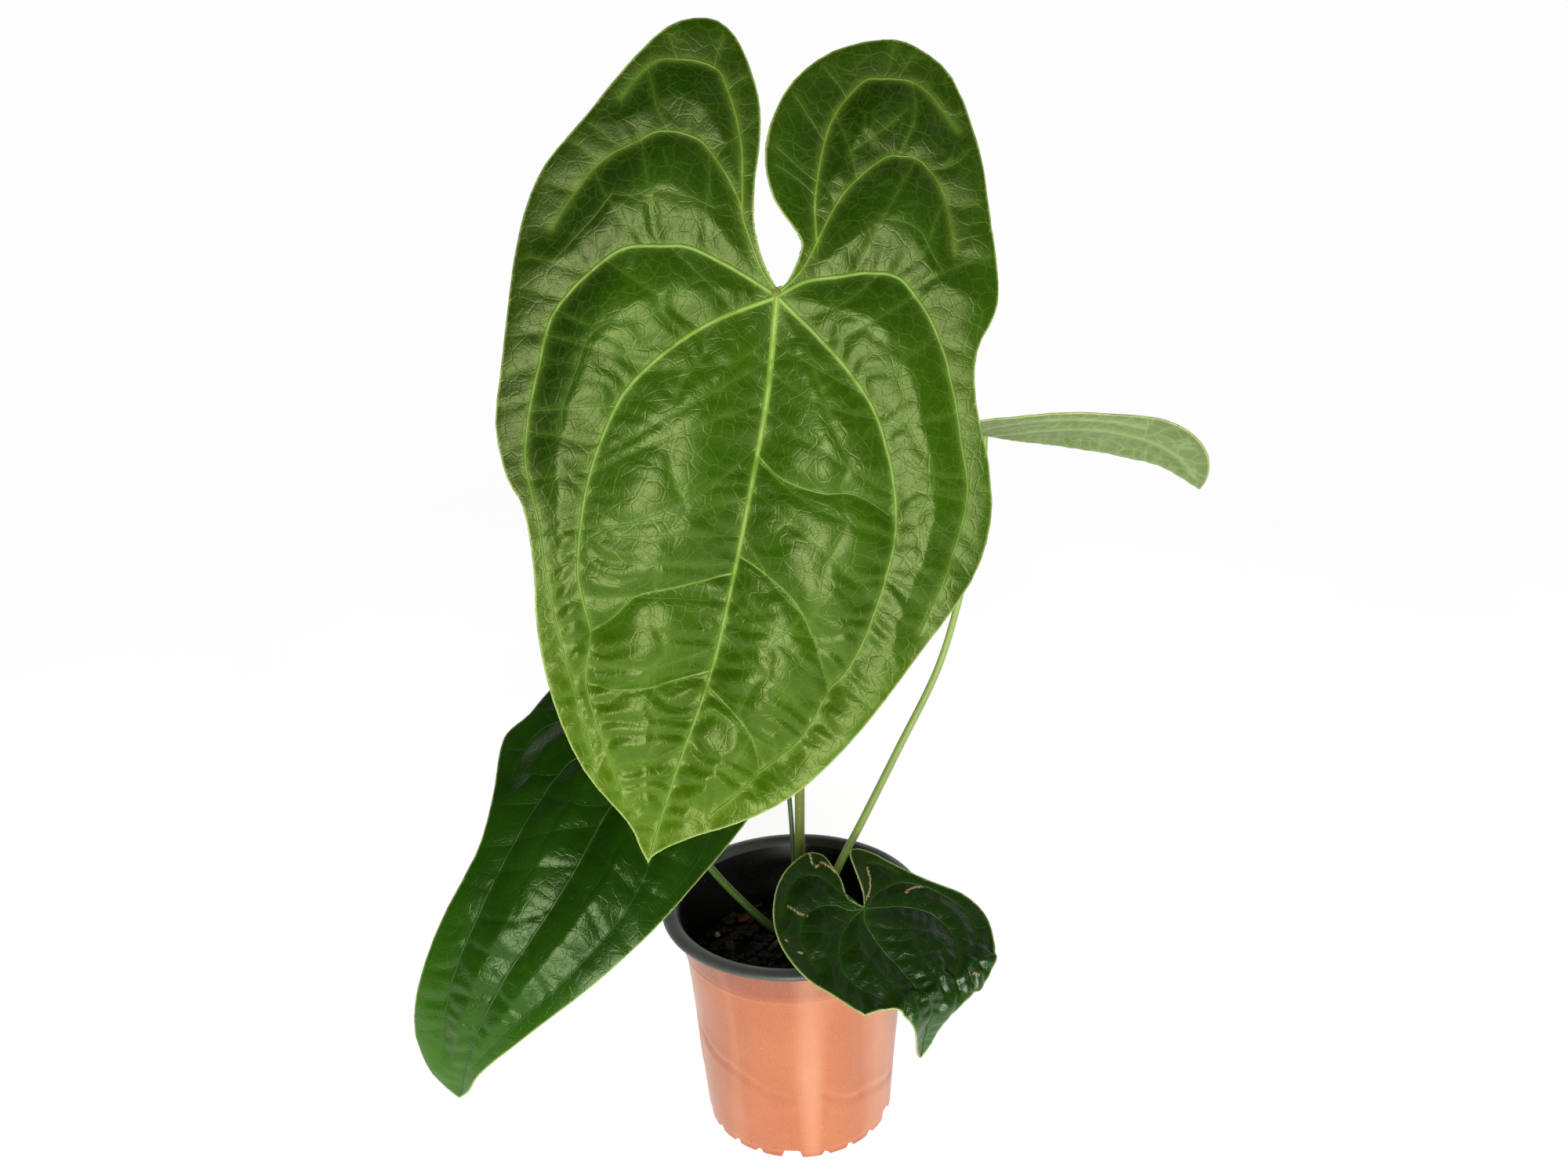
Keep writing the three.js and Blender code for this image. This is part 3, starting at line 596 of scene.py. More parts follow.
# Each stalk at its foot and at its blade.
STALK_TONES = {
    "main_leaf": (rgb(104, 112, 34), rgb(140, 156, 62)),
    "left_leaf": (rgb(34, 58, 14), rgb(96, 132, 48)),
    "front_leaf": (rgb(60, 84, 30), rgb(96, 132, 48)),
    "upper_right_leaf": (rgb(118, 144, 62), rgb(162, 186, 96)),
    "rear_leaf": (rgb(40, 66, 24), rgb(104, 134, 66)),
}
SCAR_TAN = rgb(206, 178, 128)
RIM_PALE = rgb(176, 196, 112)


def leaf_shader(tree, shader, output, colour, translucent, share):
    """Adds the light that comes through a thin blade."""
    glow = add_node(tree, "ShaderNodeBsdfTranslucent", None, Color=translucent)
    blend = add_node(tree, "ShaderNodeMixShader", None, _0=share, _1=shader.outputs[0], _2=glow.outputs[0])
    feed(tree, shader, Base_Color=colour)
    feed(tree, output, Surface=blend.outputs[0])


def blade_material(name, tones, underside):
    """Upper or lower face of one leaf."""
    side = "underside" if underside else "upper_face"
    material, tree, shader, output = new_material(f"{name}_{side}")
    place = add_node(tree, "ShaderNodeUVMap", {"uv_map": "flat"}).outputs[0]
    net = use_group(tree, leaf_network_group(), Place=place)
    space = object_place(tree)
    broad = ranged(tree, noise_at(tree, space, 22.0, 4.0, 0.55), 0.32, 0.68)
    fine = noise_at(tree, space, 900.0, 2.0, 0.6)
    vein = attribute(tree, "vein")
    if underside:
        ground = mix_colour(tree, broad, tones["under"], dimmed(tones["under"], 0.82))
        lines = mix_colour(tree, times(tree, net["Net"], 0.22), ground, tones["vein"])
        colour = mix_colour(tree, times(tree, vein, 0.5), lines, tones["vein"])
    else:
        shade = plus(tree, times(tree, broad, 0.55), times(tree, fine, 0.5))
        shade = plus(tree, shade, times(tree, net["Cell tone"], 0.06))
        ground = mix_colour(tree, shade, tones["deep"], tones["light"])
        # Painted shade: darker toward the lobes, beside the main veins and on the main leaf's left margin.
        ground = mix_colour(tree, attribute(tree, "painted_shade"), ground, tones["painted_shade"])
        # Painted glow: lighter yellow-green toward the tip and rim, in place of light through the blade.
        young = mix_colour(tree, attribute(tree, "young"), ground, tones["young"])
        lines = mix_colour(tree, times(tree, net["Net"], 0.06), young, tones["vein"])
        fines = mix_colour(tree, times(tree, net["Fine net"], 0.03), lines, tones["vein"])
        colour = mix_colour(tree, times(tree, vein, 0.38), fines, tones["vein"])
    colour = mix_colour(tree, attribute(tree, "rim"), colour, RIM_PALE)
    colour = mix_colour(tree, attribute(tree, "scar"), colour, SCAR_TAN)
    rough = plus(tree, times(tree, broad, 0.08), tones["rough"] + (0.16 if underside else -0.02))
    # The painted shade mask also makes those parts a little rougher.
    rough = plus(tree, rough, times(tree, attribute(tree, "painted_shade"), 0.05))
    feed(tree, shader, Roughness=plus(tree, rough, times(tree, fine, 0.06)), Specular_Tint=tones["sheen"],
         Specular_IOR_Level=0.25 if underside else 0.5)
    height = plus(tree, net["Height"], times(tree, fine, 0.25))
    bumped(tree, shader, 0.5, 0.0002, height)
    through = tuple(min(1.0, v * 2.2) for v in tones["young"][:3]) + (1,)
    leaf_shader(tree, shader, output, colour, through, 0.07)
    return material


def rim_material(name):
    """The pale cut edge of a blade."""
    material, tree, shader, _ = new_material(f"{name}_rim")
    patches = ranged(tree, noise_at(tree, object_place(tree), 140.0), 0.35, 0.65)
    edge = mix_colour(tree, patches, rgb(150, 172, 84), rgb(196, 208, 140))
    feed(tree, shader, Base_Color=edge, Roughness=0.5)
    return material


def vein_material(name, tones):
    """Raised ribs: pale, a little streaked along their length; the plain ones are painted lighter toward the
    tip as glow.
    """
    material, tree, shader, _ = new_material(f"{name}_veins")
    streaks = ranged(tree, noise_at(tree, object_place(tree), 160.0, 3.0), 0.3, 0.7)
    bright = mix_colour(tree, streaks, dimmed(tones["vein"], 0.72), tones["vein"])
    # Painted glow: plain veins turn to the glow tone toward the tip.
    plain = mix_colour(tree, attribute(tree, "young"), tones["light"], tones["young"])
    feed(tree, shader, Base_Color=mix_colour(tree, attribute(tree, "strength"), plain, bright),
         Roughness=ranged(tree, streaks, 0.0, 1.0, 0.36, 0.48))
    return material


def stalk_material(name, foot, top):
    """A stalk that changes colour from foot to top, finely grooved along its length."""
    material, tree, shader, _ = new_material(f"{name}_skin")
    place = object_place(tree)
    height = attribute(tree, "reach")
    ground = mix_colour(tree, height, foot, top)
    blotch = use_group(tree, speckle_group(), Place=place, Scale=55.0)
    worn = mix_colour(tree, times(tree, blotch["Blotch"], 0.3), ground, dimmed(foot, 0.6))
    colour = mix_colour(tree, times(tree, blotch["Specks"], 0.5), worn, rgb(196, 196, 140))
    feed(tree, shader, Base_Color=colour, Roughness=0.42)
    grooves = noise_at(tree, stretched(tree, place, 900.0, 900.0, 60.0), 1.0, 2.0)
    bumped(tree, shader, 0.3, 0.0002, grooves)
    return material


def pot_outside_material(props):
    """Thin terracotta-coloured plastic, mottled, a little chalky, with upright paler streaks of painted
    highlight.
    """
    material, tree, shader, _ = new_material("terracotta_plastic")
    place = object_place(tree)
    marks = use_group(tree, speckle_group(), Place=place, Scale=26.0)
    height = add_node(tree, "ShaderNodeSeparateXYZ", None, Vector=place).outputs["Z"]
    collar = ranged(tree, height, BAND_HEIGHT - 0.001, BAND_HEIGHT + 0.004)
    base = mix_colour(tree, marks["Blotch"], tuple(props.wall_colour), tuple(props.wall_light))
    deep = mix_colour(tree, times(tree, collar, 0.7), base, tuple(props.collar_colour))
    grain = noise_at(tree, place, 1100.0, 2.0, 0.7)
    chalk = times(tree, ranged(tree, grain, 0.55, 0.8), 0.25)
    dusted = mix_colour(tree, chalk, deep, rgb(246, 196, 168))
    # Painted highlight: paler upright streaks in the colour stand in for reflections on the wall.
    streaks = ranged(tree, noise_at(tree, stretched(tree, place, 34.0, 34.0, 3.0), 1.0, 1.0), 0.5, 0.66)
    highlight_streaked = mix_colour(tree, times(tree, streaks, 0.3), dusted, rgb(240, 178, 136))
    dirt = ranged(tree, height, 0.0, 0.012, 0.5, 0.0)
    specks = times(tree, marks["Specks"], dirt)
    feed(tree, shader, Base_Color=mix_colour(tree, specks, highlight_streaked, rgb(70, 44, 30)),
         Roughness=plus(tree, times(tree, marks["Blotch"], 0.08), 0.27), Specular_IOR_Level=1.0)
    bumped(tree, shader, 0.25, 0.0002, grain)
    return material


def black_plastic(name, dark, light, roughness):
    """Black or grey plastic, lightly scuffed."""
    material, tree, shader, _ = new_material(name)
    place = object_place(tree)
    marks = use_group(tree, speckle_group(), Place=place, Scale=40.0)
    base = mix_colour(tree, marks["Blotch"], dark, light)
    colour = mix_colour(tree, times(tree, marks["Specks"], 0.35), base, rgb(120, 116, 106))
    scuff = noise_at(tree, stretched(tree, place, 60.0, 60.0, 900.0), 1.0, 3.0)
    feed(tree, shader, Base_Color=colour,
         Roughness=ranged(tree, scuff, 0.3, 0.7, roughness, roughness + 0.14))
    bumped(tree, shader, 0.2, 0.0002, scuff)
    return material


def bark_material(name, dark, light, scale):
    """Fibrous bark, wood or root skin."""
    material, tree, shader, _ = new_material(name)
    place = object_place(tree)
    grain = noise_at(tree, stretched(tree, place, scale, scale * 0.3, scale), 1.0, 6.0, 0.65)
    marks = use_group(tree, speckle_group(), Place=place, Scale=scale * 0.3)
    ground = mix_colour(tree, ranged(tree, grain, 0.35, 0.65), dark, light)
    colour = mix_colour(tree, times(tree, marks["Blotch"], 0.5), ground, dark)
    feed(tree, shader, Base_Color=colour, Roughness=ranged(tree, grain, 0.3, 0.7, 0.6, 0.9))
    bumped(tree, shader, 0.8, 0.0006, grain)
    return material


# ------------------------------------------------------------------ leaves: shape
def follow(distance, bends, length):
    """Follows a line that bends in arcs: its run, its rise and its angle at each distance."""
    run, rise, angle, done = (np.zeros_like(distance) for _ in range(4))
    for start, end, degrees in bends:
        start, end = start * length / 100, end * length / 100
        inside = distance > start
        straight = np.where(inside, start - done, 0)
        run += straight * np.cos(angle)
        rise -= straight * np.sin(angle)
        curvature = math.radians(degrees) / (end - start)
        part = np.where(inside, np.minimum(distance, end) - start, 0)
        turned = angle + curvature * part
        run += (np.sin(turned) - np.sin(angle)) / curvature
        rise += (np.cos(turned) - np.cos(angle)) / curvature
        angle = turned
        done = np.where(inside, start + part, done)
    rest = distance - done
    return run + rest * np.cos(angle), rise - rest * np.sin(angle), angle


def bend_blade(flat, height, leaf):
    """Takes points of the flat blade, and their height off it, to where they are on the plant."""
    length = leaf["length"] * MM
    bends, lean = leaf["bends"], leaf["lean"]
    u, v = flat[:, 0], flat[:, 1]
    ways = {"droop": u, "lobes": -u, "right": v, "left": -v}
    fore, back, right, left = (follow(np.maximum(d, 0), bends[way], length) for way, d in ways.items())
    ahead, rightward = u >= 0, v >= 0
    run = np.where(ahead, fore[0], -back[0])
    rise = np.where(ahead, fore[1], back[1])
    heading = np.where(ahead, fore[2], -back[2])
    across, lift, turn = (np.where(rightward, a, b) for a, b in zip(right, left))
    out = across + height * np.sin(turn)
    lift = lift + height * np.cos(turn)
    tilt = np.radians(np.where(rightward, lean[1], -lean[0])) * u / length
    out, lift = out * np.cos(tilt) - lift * np.sin(tilt), out * np.sin(tilt) + lift * np.cos(tilt)
    local = np.stack([run + lift * np.sin(heading), np.where(rightward, out, -out),
                      rise + lift * np.cos(heading)], axis=1)
    x = Vector(leaf["aim"]).normalized()
    z = Vector(leaf["face"])
    z = (z - x * z.dot(x)).normalized()
    axes = np.array([x, z.cross(x), z])
    return local @ axes + np.array(attach_point(leaf))


def attach_point(leaf):
    """Where the stalk meets the blade, in metres."""
    x, y, z = leaf["attach"]
    return Vector((x * MM, y * MM, z * MM + SOIL_LINE))


def facing(leaf):
    """The blade's face direction where the stalk meets it."""
    x = Vector(leaf["aim"]).normalized()
    z = Vector(leaf["face"])
    return (z - x * z.dot(x)).normalized()


class Surface:
    """The lines on one flat blade and the relief that they raise."""

    def __init__(self, leaf, props):
        self.leaf = leaf
        self.scale = leaf["length"] * MM / 100
        self.depth = props.quilt_depth * leaf["quilt"] * MM
        self.rim = self.outline(3)
        self.rim_samples = along(self.rim, 0.6 * MM)
        self.veins = {name: along(smooth(line, 8), VEIN_STEP) * self.scale
                      for name, line in leaf["veins"].items()}
        self.ribs = [along(smooth(line, 8), VEIN_STEP) * self.scale for line in leaf["ribs"]]
        self.rng = np.random.default_rng(len(leaf["name"]) + 7)
        self.rungs = [line for line in map(self.inside_part, self.make_rungs()) if len(line) > 3]
        self.main_samples = np.vstack(list(self.veins.values()))
        step = VEIN_STEP * self.scale
        self.main_reach = np.concatenate([np.arange(len(line)) * step for line in self.veins.values()])
        self.rung_samples = np.vstack(self.rungs)
        self.rib_samples = np.vstack(self.ribs) if self.ribs else self.main_samples

    def outline(self, steps):
        leaf = self.leaf
        notch, tip = (-1, 0), (100, 0)
        left = smooth([notch, *leaf["left"], tip], steps)
        right = smooth([notch, *leaf["right"], tip], steps)[::-1]
        return np.vstack([left, right[1:-1]]) * leaf["length"] * MM / 100

    def is_inside(self, points):
        """Whether each point is inside the outline."""
        a, b = self.rim, np.roll(self.rim, -1, axis=0)
        x, y = points[:, :1], points[:, 1:]
        spans = (a[:, 1] > y) != (b[:, 1] > y)
        rise = np.where(b[:, 1] == a[:, 1], 1e-12, b[:, 1] - a[:, 1])
        crossing = (b[:, 0] - a[:, 0]) * (y - a[:, 1]) / rise + a[:, 0]
        return (spans & (x < crossing)).sum(axis=1) % 2 == 1

    def inside_part(self, line):
        """The line up to where it comes close to the rim."""
        gap, _ = nearest(line, self.rim_samples)
        clear = self.is_inside(line) & (gap > 1.3 * MM)
        stop = len(line) if clear.all() else int(np.argmin(clear))
        return line[:stop]

    def bowed(self, start, end, bow):
        """A slightly bent cross vein."""
        gap = end - start
        side = np.array([-gap[1], gap[0]]) * bow
        stops = [start, start + gap * 0.35 + side, start + gap * 0.7 + side * self.rng.uniform(0.3, 1.1), end]
        return along(smooth(stops, 8), 0.8 * MM)

    def cast(self, start, heading, others):
        """Where a line from start first comes to another main vein or the rim, and which."""
        path = start + heading * np.arange(2.5 * MM, 62 * self.scale, 1.2 * MM)[:, None]
        at_rim = (nearest(path, self.rim_samples)[0] < 2 * MM) | ~self.is_inside(path)
        at_vein = nearest(path, others)[0] < 1.2 * MM
        stopped = at_rim | at_vein
        if not stopped.any():
            return None, False
        first = int(np.argmax(stopped))
        return path[first], bool(at_rim[first])

    def make_rungs(self):
        """Cross veins from each main vein outward, linked to each other where the gap is wide."""
        rng, lines = self.rng, []
        pitch, step = self.scale * self.leaf["cell"], VEIN_STEP * self.scale
        for name, vein in self.veins.items():
            others = np.vstack([line[12:] for key, line in self.veins.items() if key != name])
            for side in {"m": (-1, 1), "l": (-1,), "r": (1,)}[name[0]]:
                last = None
                for stop in np.arange(pitch * 0.9, (len(vein) - 3) * step, pitch):
                    i = min(len(vein) - 3, int((stop + rng.uniform(-0.34, 0.34) * pitch) / step))
                    ahead = vein[i + 2] - vein[i]
                    ahead /= np.linalg.norm(ahead)
                    outward = side * np.array([-ahead[1], ahead[0]]) + ahead * rng.uniform(0.1, 0.8)
                    end, at_rim = self.cast(vein[i], outward / np.linalg.norm(outward), others)
                    if end is None:
                        last = None
                        continue
                    gap = end - vein[i]
                    bend = side * rng.uniform(-0.13, 0.02)
                    lines.append(self.bowed(vein[i], vein[i] + gap * (0.85 if at_rim else 1.0), bend))
                    middle = vein[i] + gap * rng.uniform(0.36, 0.64)
                    wide = np.linalg.norm(gap) > pitch * 1.5
                    if wide and last is not None:
                        lines.append(self.bowed(last, middle, rng.uniform(-0.12, 0.12)))
                    last = middle if wide else None
        return lines

    def relief(self, flat):
        """Height of the upper face off the flat blade, with the distances that it comes from."""
        main, index = nearest(flat, self.main_samples)
        rung, _ = nearest(flat, self.rung_samples)
        rib, _ = nearest(flat, self.rib_samples)
        rim, _ = nearest(flat, self.rim_samples)
        size = self.leaf["length"] / LARGEST_LEAF
        span = size**0.5
        wobble = np.array([noise.noise(Vector((x * 60, y * 60, 3.1))) for x, y in flat])
        fine = np.array([noise.noise(Vector((x * 210, y * 210, 8.4))) for x, y in flat])
        phase = 2 * np.pi * self.main_reach[index] / (PLEAT_PITCH * span) + 5 * wobble
        pleats = np.sin(phase) * np.exp(-main / (PLEAT_REACH * span)) * rise_to_one(main, PLEAT_START)
        shoulder = SHOULDER_HEIGHT * (1 - np.exp(-main / (SHOULDER_REACH * span)))
        dome = DOME_HEIGHT * (1 - np.exp(-((main / (DOME_REACH * span)) ** 2)))
        height = shoulder + dome
        height -= RIB_DIP * np.exp(-rib / RIB_REACH) * bool(self.ribs)
        height -= self.leaf["groove"] * np.exp(-rung / (GROOVE_REACH * span))
        tip_ward = np.clip((flat[:, 0] / self.scale - 35) / 40, 0, 1)
        inner = RIM_PLEATS + (1 - RIM_PLEATS) * rise_to_one(rim, INNER_REACH * span)
        height += self.leaf["pleats"] * (inner + TIP_PLEATS * tip_ward) * pleats
        height += WOBBLE_HEIGHT * wobble + FINE_HEIGHT * fine - LEVEL
        fade = RIM_SHARE + (1 - RIM_SHARE) * (1 - np.exp(-rim / (RIM_REACH * span)))
        ripple = np.sin(flat[:, 0] / (RIPPLE_PITCH * span) + 5 * wobble)
        ripple *= np.exp(-rim / (RIPPLE_REACH * span))
        tip_swell = 1 + TIP_SWELL * tip_ward * bool(self.ribs)
        height = self.depth * (height * fade * tip_swell + RIPPLE_HEIGHT * ripple * size**0.3)
        if self.leaf["name"] == "front_leaf":
            height += self.crinkle(flat, wobble)
        return height, main, np.minimum(rung, rib), rim

    def crinkle(self, flat, wobble):
        """Sharp puckers where the front leaf has folded over."""
        u, v = flat[:, 0] / self.scale, flat[:, 1] / self.scale
        near_fold = np.exp(-(((u - 56) / 13) ** 2)) * np.clip((np.abs(v) + 8) / 20, 0.3, 1)
        wave = np.abs(np.sin(2 * np.pi * v / 21 + 2.4 * wobble + u * 0.06)) - 0.6
        ridge = np.exp(-(((u - 52 - 2.4 * np.sin(v * 0.3)) / 2.6) ** 2))
        return (2.6 * wave * near_fold + 1.8 * ridge) * MM

    def tip_share(self, flat):
        """0 until almost halfway from the stalk to the tip, then rising to 1 at the tip."""
        return np.clip((flat[:, 0] / self.scale - 45) / 50, 0, 1)

    def painted_glow_and_shade(self, flat, main, rim):
        """How much painted glow each point gets toward the tip and rim, in place of light through
        the blade, and how much painted shade toward the lobes and beside the main veins.

        The left margin of the main leaf gets the most painted shade and is the darkest part of it."""
        u, v = flat[:, 0] / self.scale, flat[:, 1] / self.scale
        tip_ward, edge_ward = self.tip_share(flat), np.exp(-rim / (14 * MM))
        young = np.clip(0.6 * tip_ward + 0.4 * edge_ward * (0.4 + tip_ward), 0, 0.85)
        painted_shade = 0.7 * np.clip((12 - u) / 40, 0, 1) + 0.5 * np.exp(-main / (7 * MM))
        if self.leaf["name"] == "main_leaf":
            painted_shade += 0.9 * np.clip((-24 - v) / 9, 0, 1) * np.clip(1.8 - np.abs(u - 12) / 28, 0, 1)
        return young, np.clip(painted_shade, 0, 1)

    def scars(self, flat):
        """1 on the dry scars of the front leaf."""
        level = np.zeros(len(flat))
        if self.leaf["name"] == "front_leaf":
            for line, half_width in SCARS:
                samples = along(np.array(line) * self.scale, 0.25 * MM)
                gap, _ = nearest(flat, samples)
                level = np.maximum(level, np.clip(2.2 - gap / (half_width * self.scale * 0.42), 0, 1))
        return level


def flat_blade(surface, cell):
    """The flat blade: its outline as one face, cut into cells and divided evenly."""
    bm = bmesh.new()
    bm.faces.new([bm.verts.new((x, y, 0)) for x, y in surface.rim])
    low, high = surface.rim.min(axis=0), surface.rim.max(axis=0)
    for axis, normal in enumerate(((1, 0, 0), (0, 1, 0))):
        count = int((high[axis] - low[axis]) / cell)
        for place in np.linspace(low[axis], high[axis], count + 2)[1:-1]:
            point = [0, 0, 0]
            point[axis] = place + 1e-5
            bmesh.ops.bisect_plane(bm, geom=bm.verts[:] + bm.edges[:] + bm.faces[:], dist=1e-6,
                                   plane_co=point, plane_no=normal)
    bmesh.ops.remove_doubles(bm, verts=bm.verts[:], dist=2e-5)
    bmesh.ops.recalc_face_normals(bm, faces=bm.faces[:])
    if sum(f.normal.z for f in bm.faces) < 0:
        bmesh.ops.reverse_faces(bm, faces=bm.faces[:])
    rough = mesh_from(bm, "flat_blade")
    return evaluated(rough, ("SUBSURF", {"subdivision_type": "SIMPLE", "levels": BLADE_LEVELS,
                                         "render_levels": BLADE_LEVELS}))


def make_blade(leaf, props):
    """The blade of one leaf, quilted between its veins."""
    surface = Surface(leaf, props)
    cell = props.facet * 8 * (1.0 if leaf["length"] > 200 else 0.62)
    mesh = flat_blade(surface, cell)
    flat = vertex_array(mesh)[:, :2]
    height, main, side, rim = surface.relief(flat)
    set_vertices(mesh, bend_blade(flat, height, leaf))
    layer = mesh.uv_layers.new(name="flat")
    corners = np.empty(len(mesh.loops), np.int32)
    mesh.loops.foreach_get("vertex_index", corners)
    layer.data.foreach_set("uv", flat[corners].astype(np.float32).ravel())
    # Masks of painted glow and painted shade for the upper face's colour.
    young, painted_shade = surface.painted_glow_and_shade(flat, main, rim)
    set_attribute(mesh, "vein", np.maximum(np.exp(-main / (1.6 * MM)), 0.4 * np.exp(-side / (1.0 * MM))))
    set_attribute(mesh, "rim", np.clip(1.15 - rim / (0.75 * MM), 0, 1))
    set_attribute(mesh, "young", young)
    set_attribute(mesh, "painted_shade", painted_shade)
    set_attribute(mesh, "scar", surface.scars(flat))
    mesh.polygons.foreach_set("use_smooth", [True] * len(mesh.polygons))
    tones = LEAF_TONES[leaf["name"]]
    name = leaf["name"]
    obj = link_object(f"{name}_quilted_blade", mesh, blade_material(name, tones, False),
                      blade_material(name, tones, True), rim_material(name))
    solid = obj.modifiers.new("thickness", "SOLIDIFY")
    solid.thickness = props.thickness
    solid.offset = 0
    solid.material_offset = 1
    solid.material_offset_rim = 2
    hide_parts(f"{name}_blade")
    return obj, surface


def make_veins(leaf, surface):
    """The raised ribs and cross veins of one leaf."""
    lines, strengths, wards = [], [], []
    thick = leaf["rib_radius"] * MM

    def add(line, start, end, strength, lift):
        step = along(line, 1.2 * MM)
        radii = np.linspace(start, end, len(step))
        height = surface.relief(step)[0] + 0.4 * MM + lift * MM - radii * 0.45
        lines.append((bend_blade(step, height, leaf), radii))
        strengths.extend(np.linspace(strength, strength * 0.35, len(step)))
        wards.extend(surface.tip_share(step))

    for name, line in surface.veins.items():
        share = {"b": 1.0, "1": 0.68, "2": 0.6}.get(name[-1], 0.4)
        add(line, thick * share, thick * share * 0.28, 0.45 + 0.55 * share, 0.32)
    for line in surface.ribs:
        add(line, thick * 0.4, thick * 0.2, 0.6, 0.22)
    for line in surface.rungs:
        add(line, thick * 0.15, thick * 0.1, 0.12, 0.08)
    name = leaf["name"]
    mesh = tube_mesh(lines)
    centres = np.vstack([points for points, _ in lines])
    tree = kdtree.KDTree(len(centres))
    for i, p in enumerate(centres):
        tree.insert(p, i)
    tree.balance()
    points = vertex_array(mesh)
    set_attribute(mesh, "strength", [max(strengths[f[1]] for f in tree.find_n(p, 4)) for p in points])
    # Painted glow mask for the veins, rising toward the tip.
    set_attribute(mesh, "young", [wards[tree.find(p)[1]] for p in points])
    return link_object(f"{name}_veins", mesh, vein_material(name, LEAF_TONES[name]))


def make_stalk(leaf, surface):
    """One stalk, from the crown to the back of its blade, swollen where it meets the blade."""
    name = leaf["name"]
    base, (foot_radius, top_radius), via = STALKS[name]
    x, y = on_ring(CROWN_RING, base)
    foot = Vector((x + STEM_CENTRE[0], y + STEM_CENTRE[1], STEM_HIGH[2] + GAP))
    sunk = surface.relief(np.zeros((1, 2)))[0][0]
    end = attach_point(leaf) - facing(leaf) * (0.4 * MM + GAP - sunk)
    middle = [Vector((px * MM, py * MM, pz * MM + SOIL_LINE)) for px, py, pz in via]
    path = [foot, foot + Vector((0, 0, LAUNCH)), *middle, end - facing(leaf) * LAUNCH, end]
    line = along(smooth([tuple(p) for p in path], 10), 1.6 * MM)
    share = np.linspace(0, 1, len(line))
    from_top = (1 - share) * len(line) * 1.6 * MM
    from_foot = share * len(line) * 1.6 * MM
    radii = (foot_radius + (top_radius - foot_radius) * share) * MM
    knuckle = 0.22 * np.exp(-((from_top - 6 * MM) / (7 * MM)) ** 2)
    radii = radii * (1 + knuckle + 0.1 * np.exp(-from_foot / (6 * MM)))
    mesh = tube_mesh([(line, radii)], sides=4)
    points = vertex_array(mesh)
    tree = kdtree.KDTree(len(line))
    for i, p in enumerate(line):
        tree.insert(p, i)
    tree.balance()
    index = np.array([tree.find(p)[1] for p in points])
    set_attribute(mesh, "reach", share[index])
    foot_tone, top_tone = STALK_TONES[name]
    obj = link_object(f"{name}_round_stalk", mesh, stalk_material(f"{name}_stalk", foot_tone, top_tone))
    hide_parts(f"{name}_stalk")
    return obj


# ------------------------------------------------------------------ pot
def wall_radius(z):
    """Outer radius of the wall below the band."""
    return FOOT_RADIUS + (BAND_RADIUS - FOOT_RADIUS) * z / BAND_HEIGHT


def inner_radius(z):
    """Inner radius of the pot."""
    if z < BAND_HEIGHT:
        return wall_radius(z) - WALL
    share = (z - BAND_HEIGHT) / (LIP_UNDERSIDE - BAND_HEIGHT)
    start = BAND_RADIUS + BAND_STEP
    return start + (COLLAR_RADIUS - start) * share - WALL


def pot_profile():
    """(radius, height, finish of the stretch that starts here) from the axis out, up and in."""
    rows = [(0, 0, 0), (PAD_RADIUS, 0, 0), (PAD_RADIUS + 0.6 * MM, FLOOR_LIFT, 0),
            (wall_radius(FLOOR_LIFT) - WALL, FLOOR_LIFT, 0), (FOOT_RADIUS - WALL, 0, 0),
            (FOOT_RADIUS, 0, 0)]
    for z in np.linspace(5.2 * MM, BAND_HEIGHT - 0.6 * MM, 44):
        rows.append((wall_radius(z), z, 0))
    collar = BAND_RADIUS + BAND_STEP
    rows += [(collar + 0.1 * MM, BAND_HEIGHT, 0), (collar + 0.35 * MM, BAND_HEIGHT + 0.5 * MM, 0),
             (collar + 0.1 * MM, BAND_HEIGHT + 1.2 * MM, 0)]
    top = LIP_UNDERSIDE - 1.6 * MM
    for share in np.linspace(0.12, 1, 7):
        rows.append((collar + (COLLAR_RADIUS - collar) * share, BAND_HEIGHT + (top - BAND_HEIGHT) * share, 0))
    rows += [(COLLAR_RADIUS + 0.9 * MM, top + 0.4 * MM, 0),
             (COLLAR_RADIUS + 1.5 * MM, LIP_UNDERSIDE - 0.4 * MM, 0)]
    lip = [(COLLAR_RADIUS + 1.3 * MM, LIP_UNDERSIDE), (LIP_RADIUS - 1.2 * MM, LIP_UNDERSIDE),
           (LIP_RADIUS - 0.35 * MM, LIP_UNDERSIDE + 0.3 * MM), (LIP_RADIUS, LIP_UNDERSIDE + 1.0 * MM),
           (LIP_RADIUS - 0.1 * MM, POT_TOP - LIP_DIP - 0.3 * MM),
           (LIP_RADIUS - 0.9 * MM, POT_TOP - LIP_DIP * 0.5), (LIP_RADIUS - 2.4 * MM, POT_TOP - 0.15 * MM),
           (LIP_RADIUS - 4 * MM, POT_TOP), (COLLAR_RADIUS + 1.5 * MM, POT_TOP - 0.05 * MM),
           (COLLAR_RADIUS + 0.4 * MM, POT_TOP - 0.8 * MM)]
    rows += [(radius, z, 1) for radius, z in lip]
    rows.append((inner_radius(LIP_UNDERSIDE) + 0.1 * MM, LIP_UNDERSIDE, 2))
    band = BAND_HEIGHT / MM
    for z, ridge in ((124, 0), (121, 0.3), (120, 0), (band + 1, 0), (band, 0), (104, 0), (101, 0.25),
                     (100, 0), (80, 0), (60, 0), (40, 0), (20, 0)):
        rows.append((inner_radius(z * MM) - ridge * MM, z * MM, 2))
    rows += [(inner_radius(FLOOR_TOP), FLOOR_TOP, 2), (0, FLOOR_TOP, 2)]
    return rows


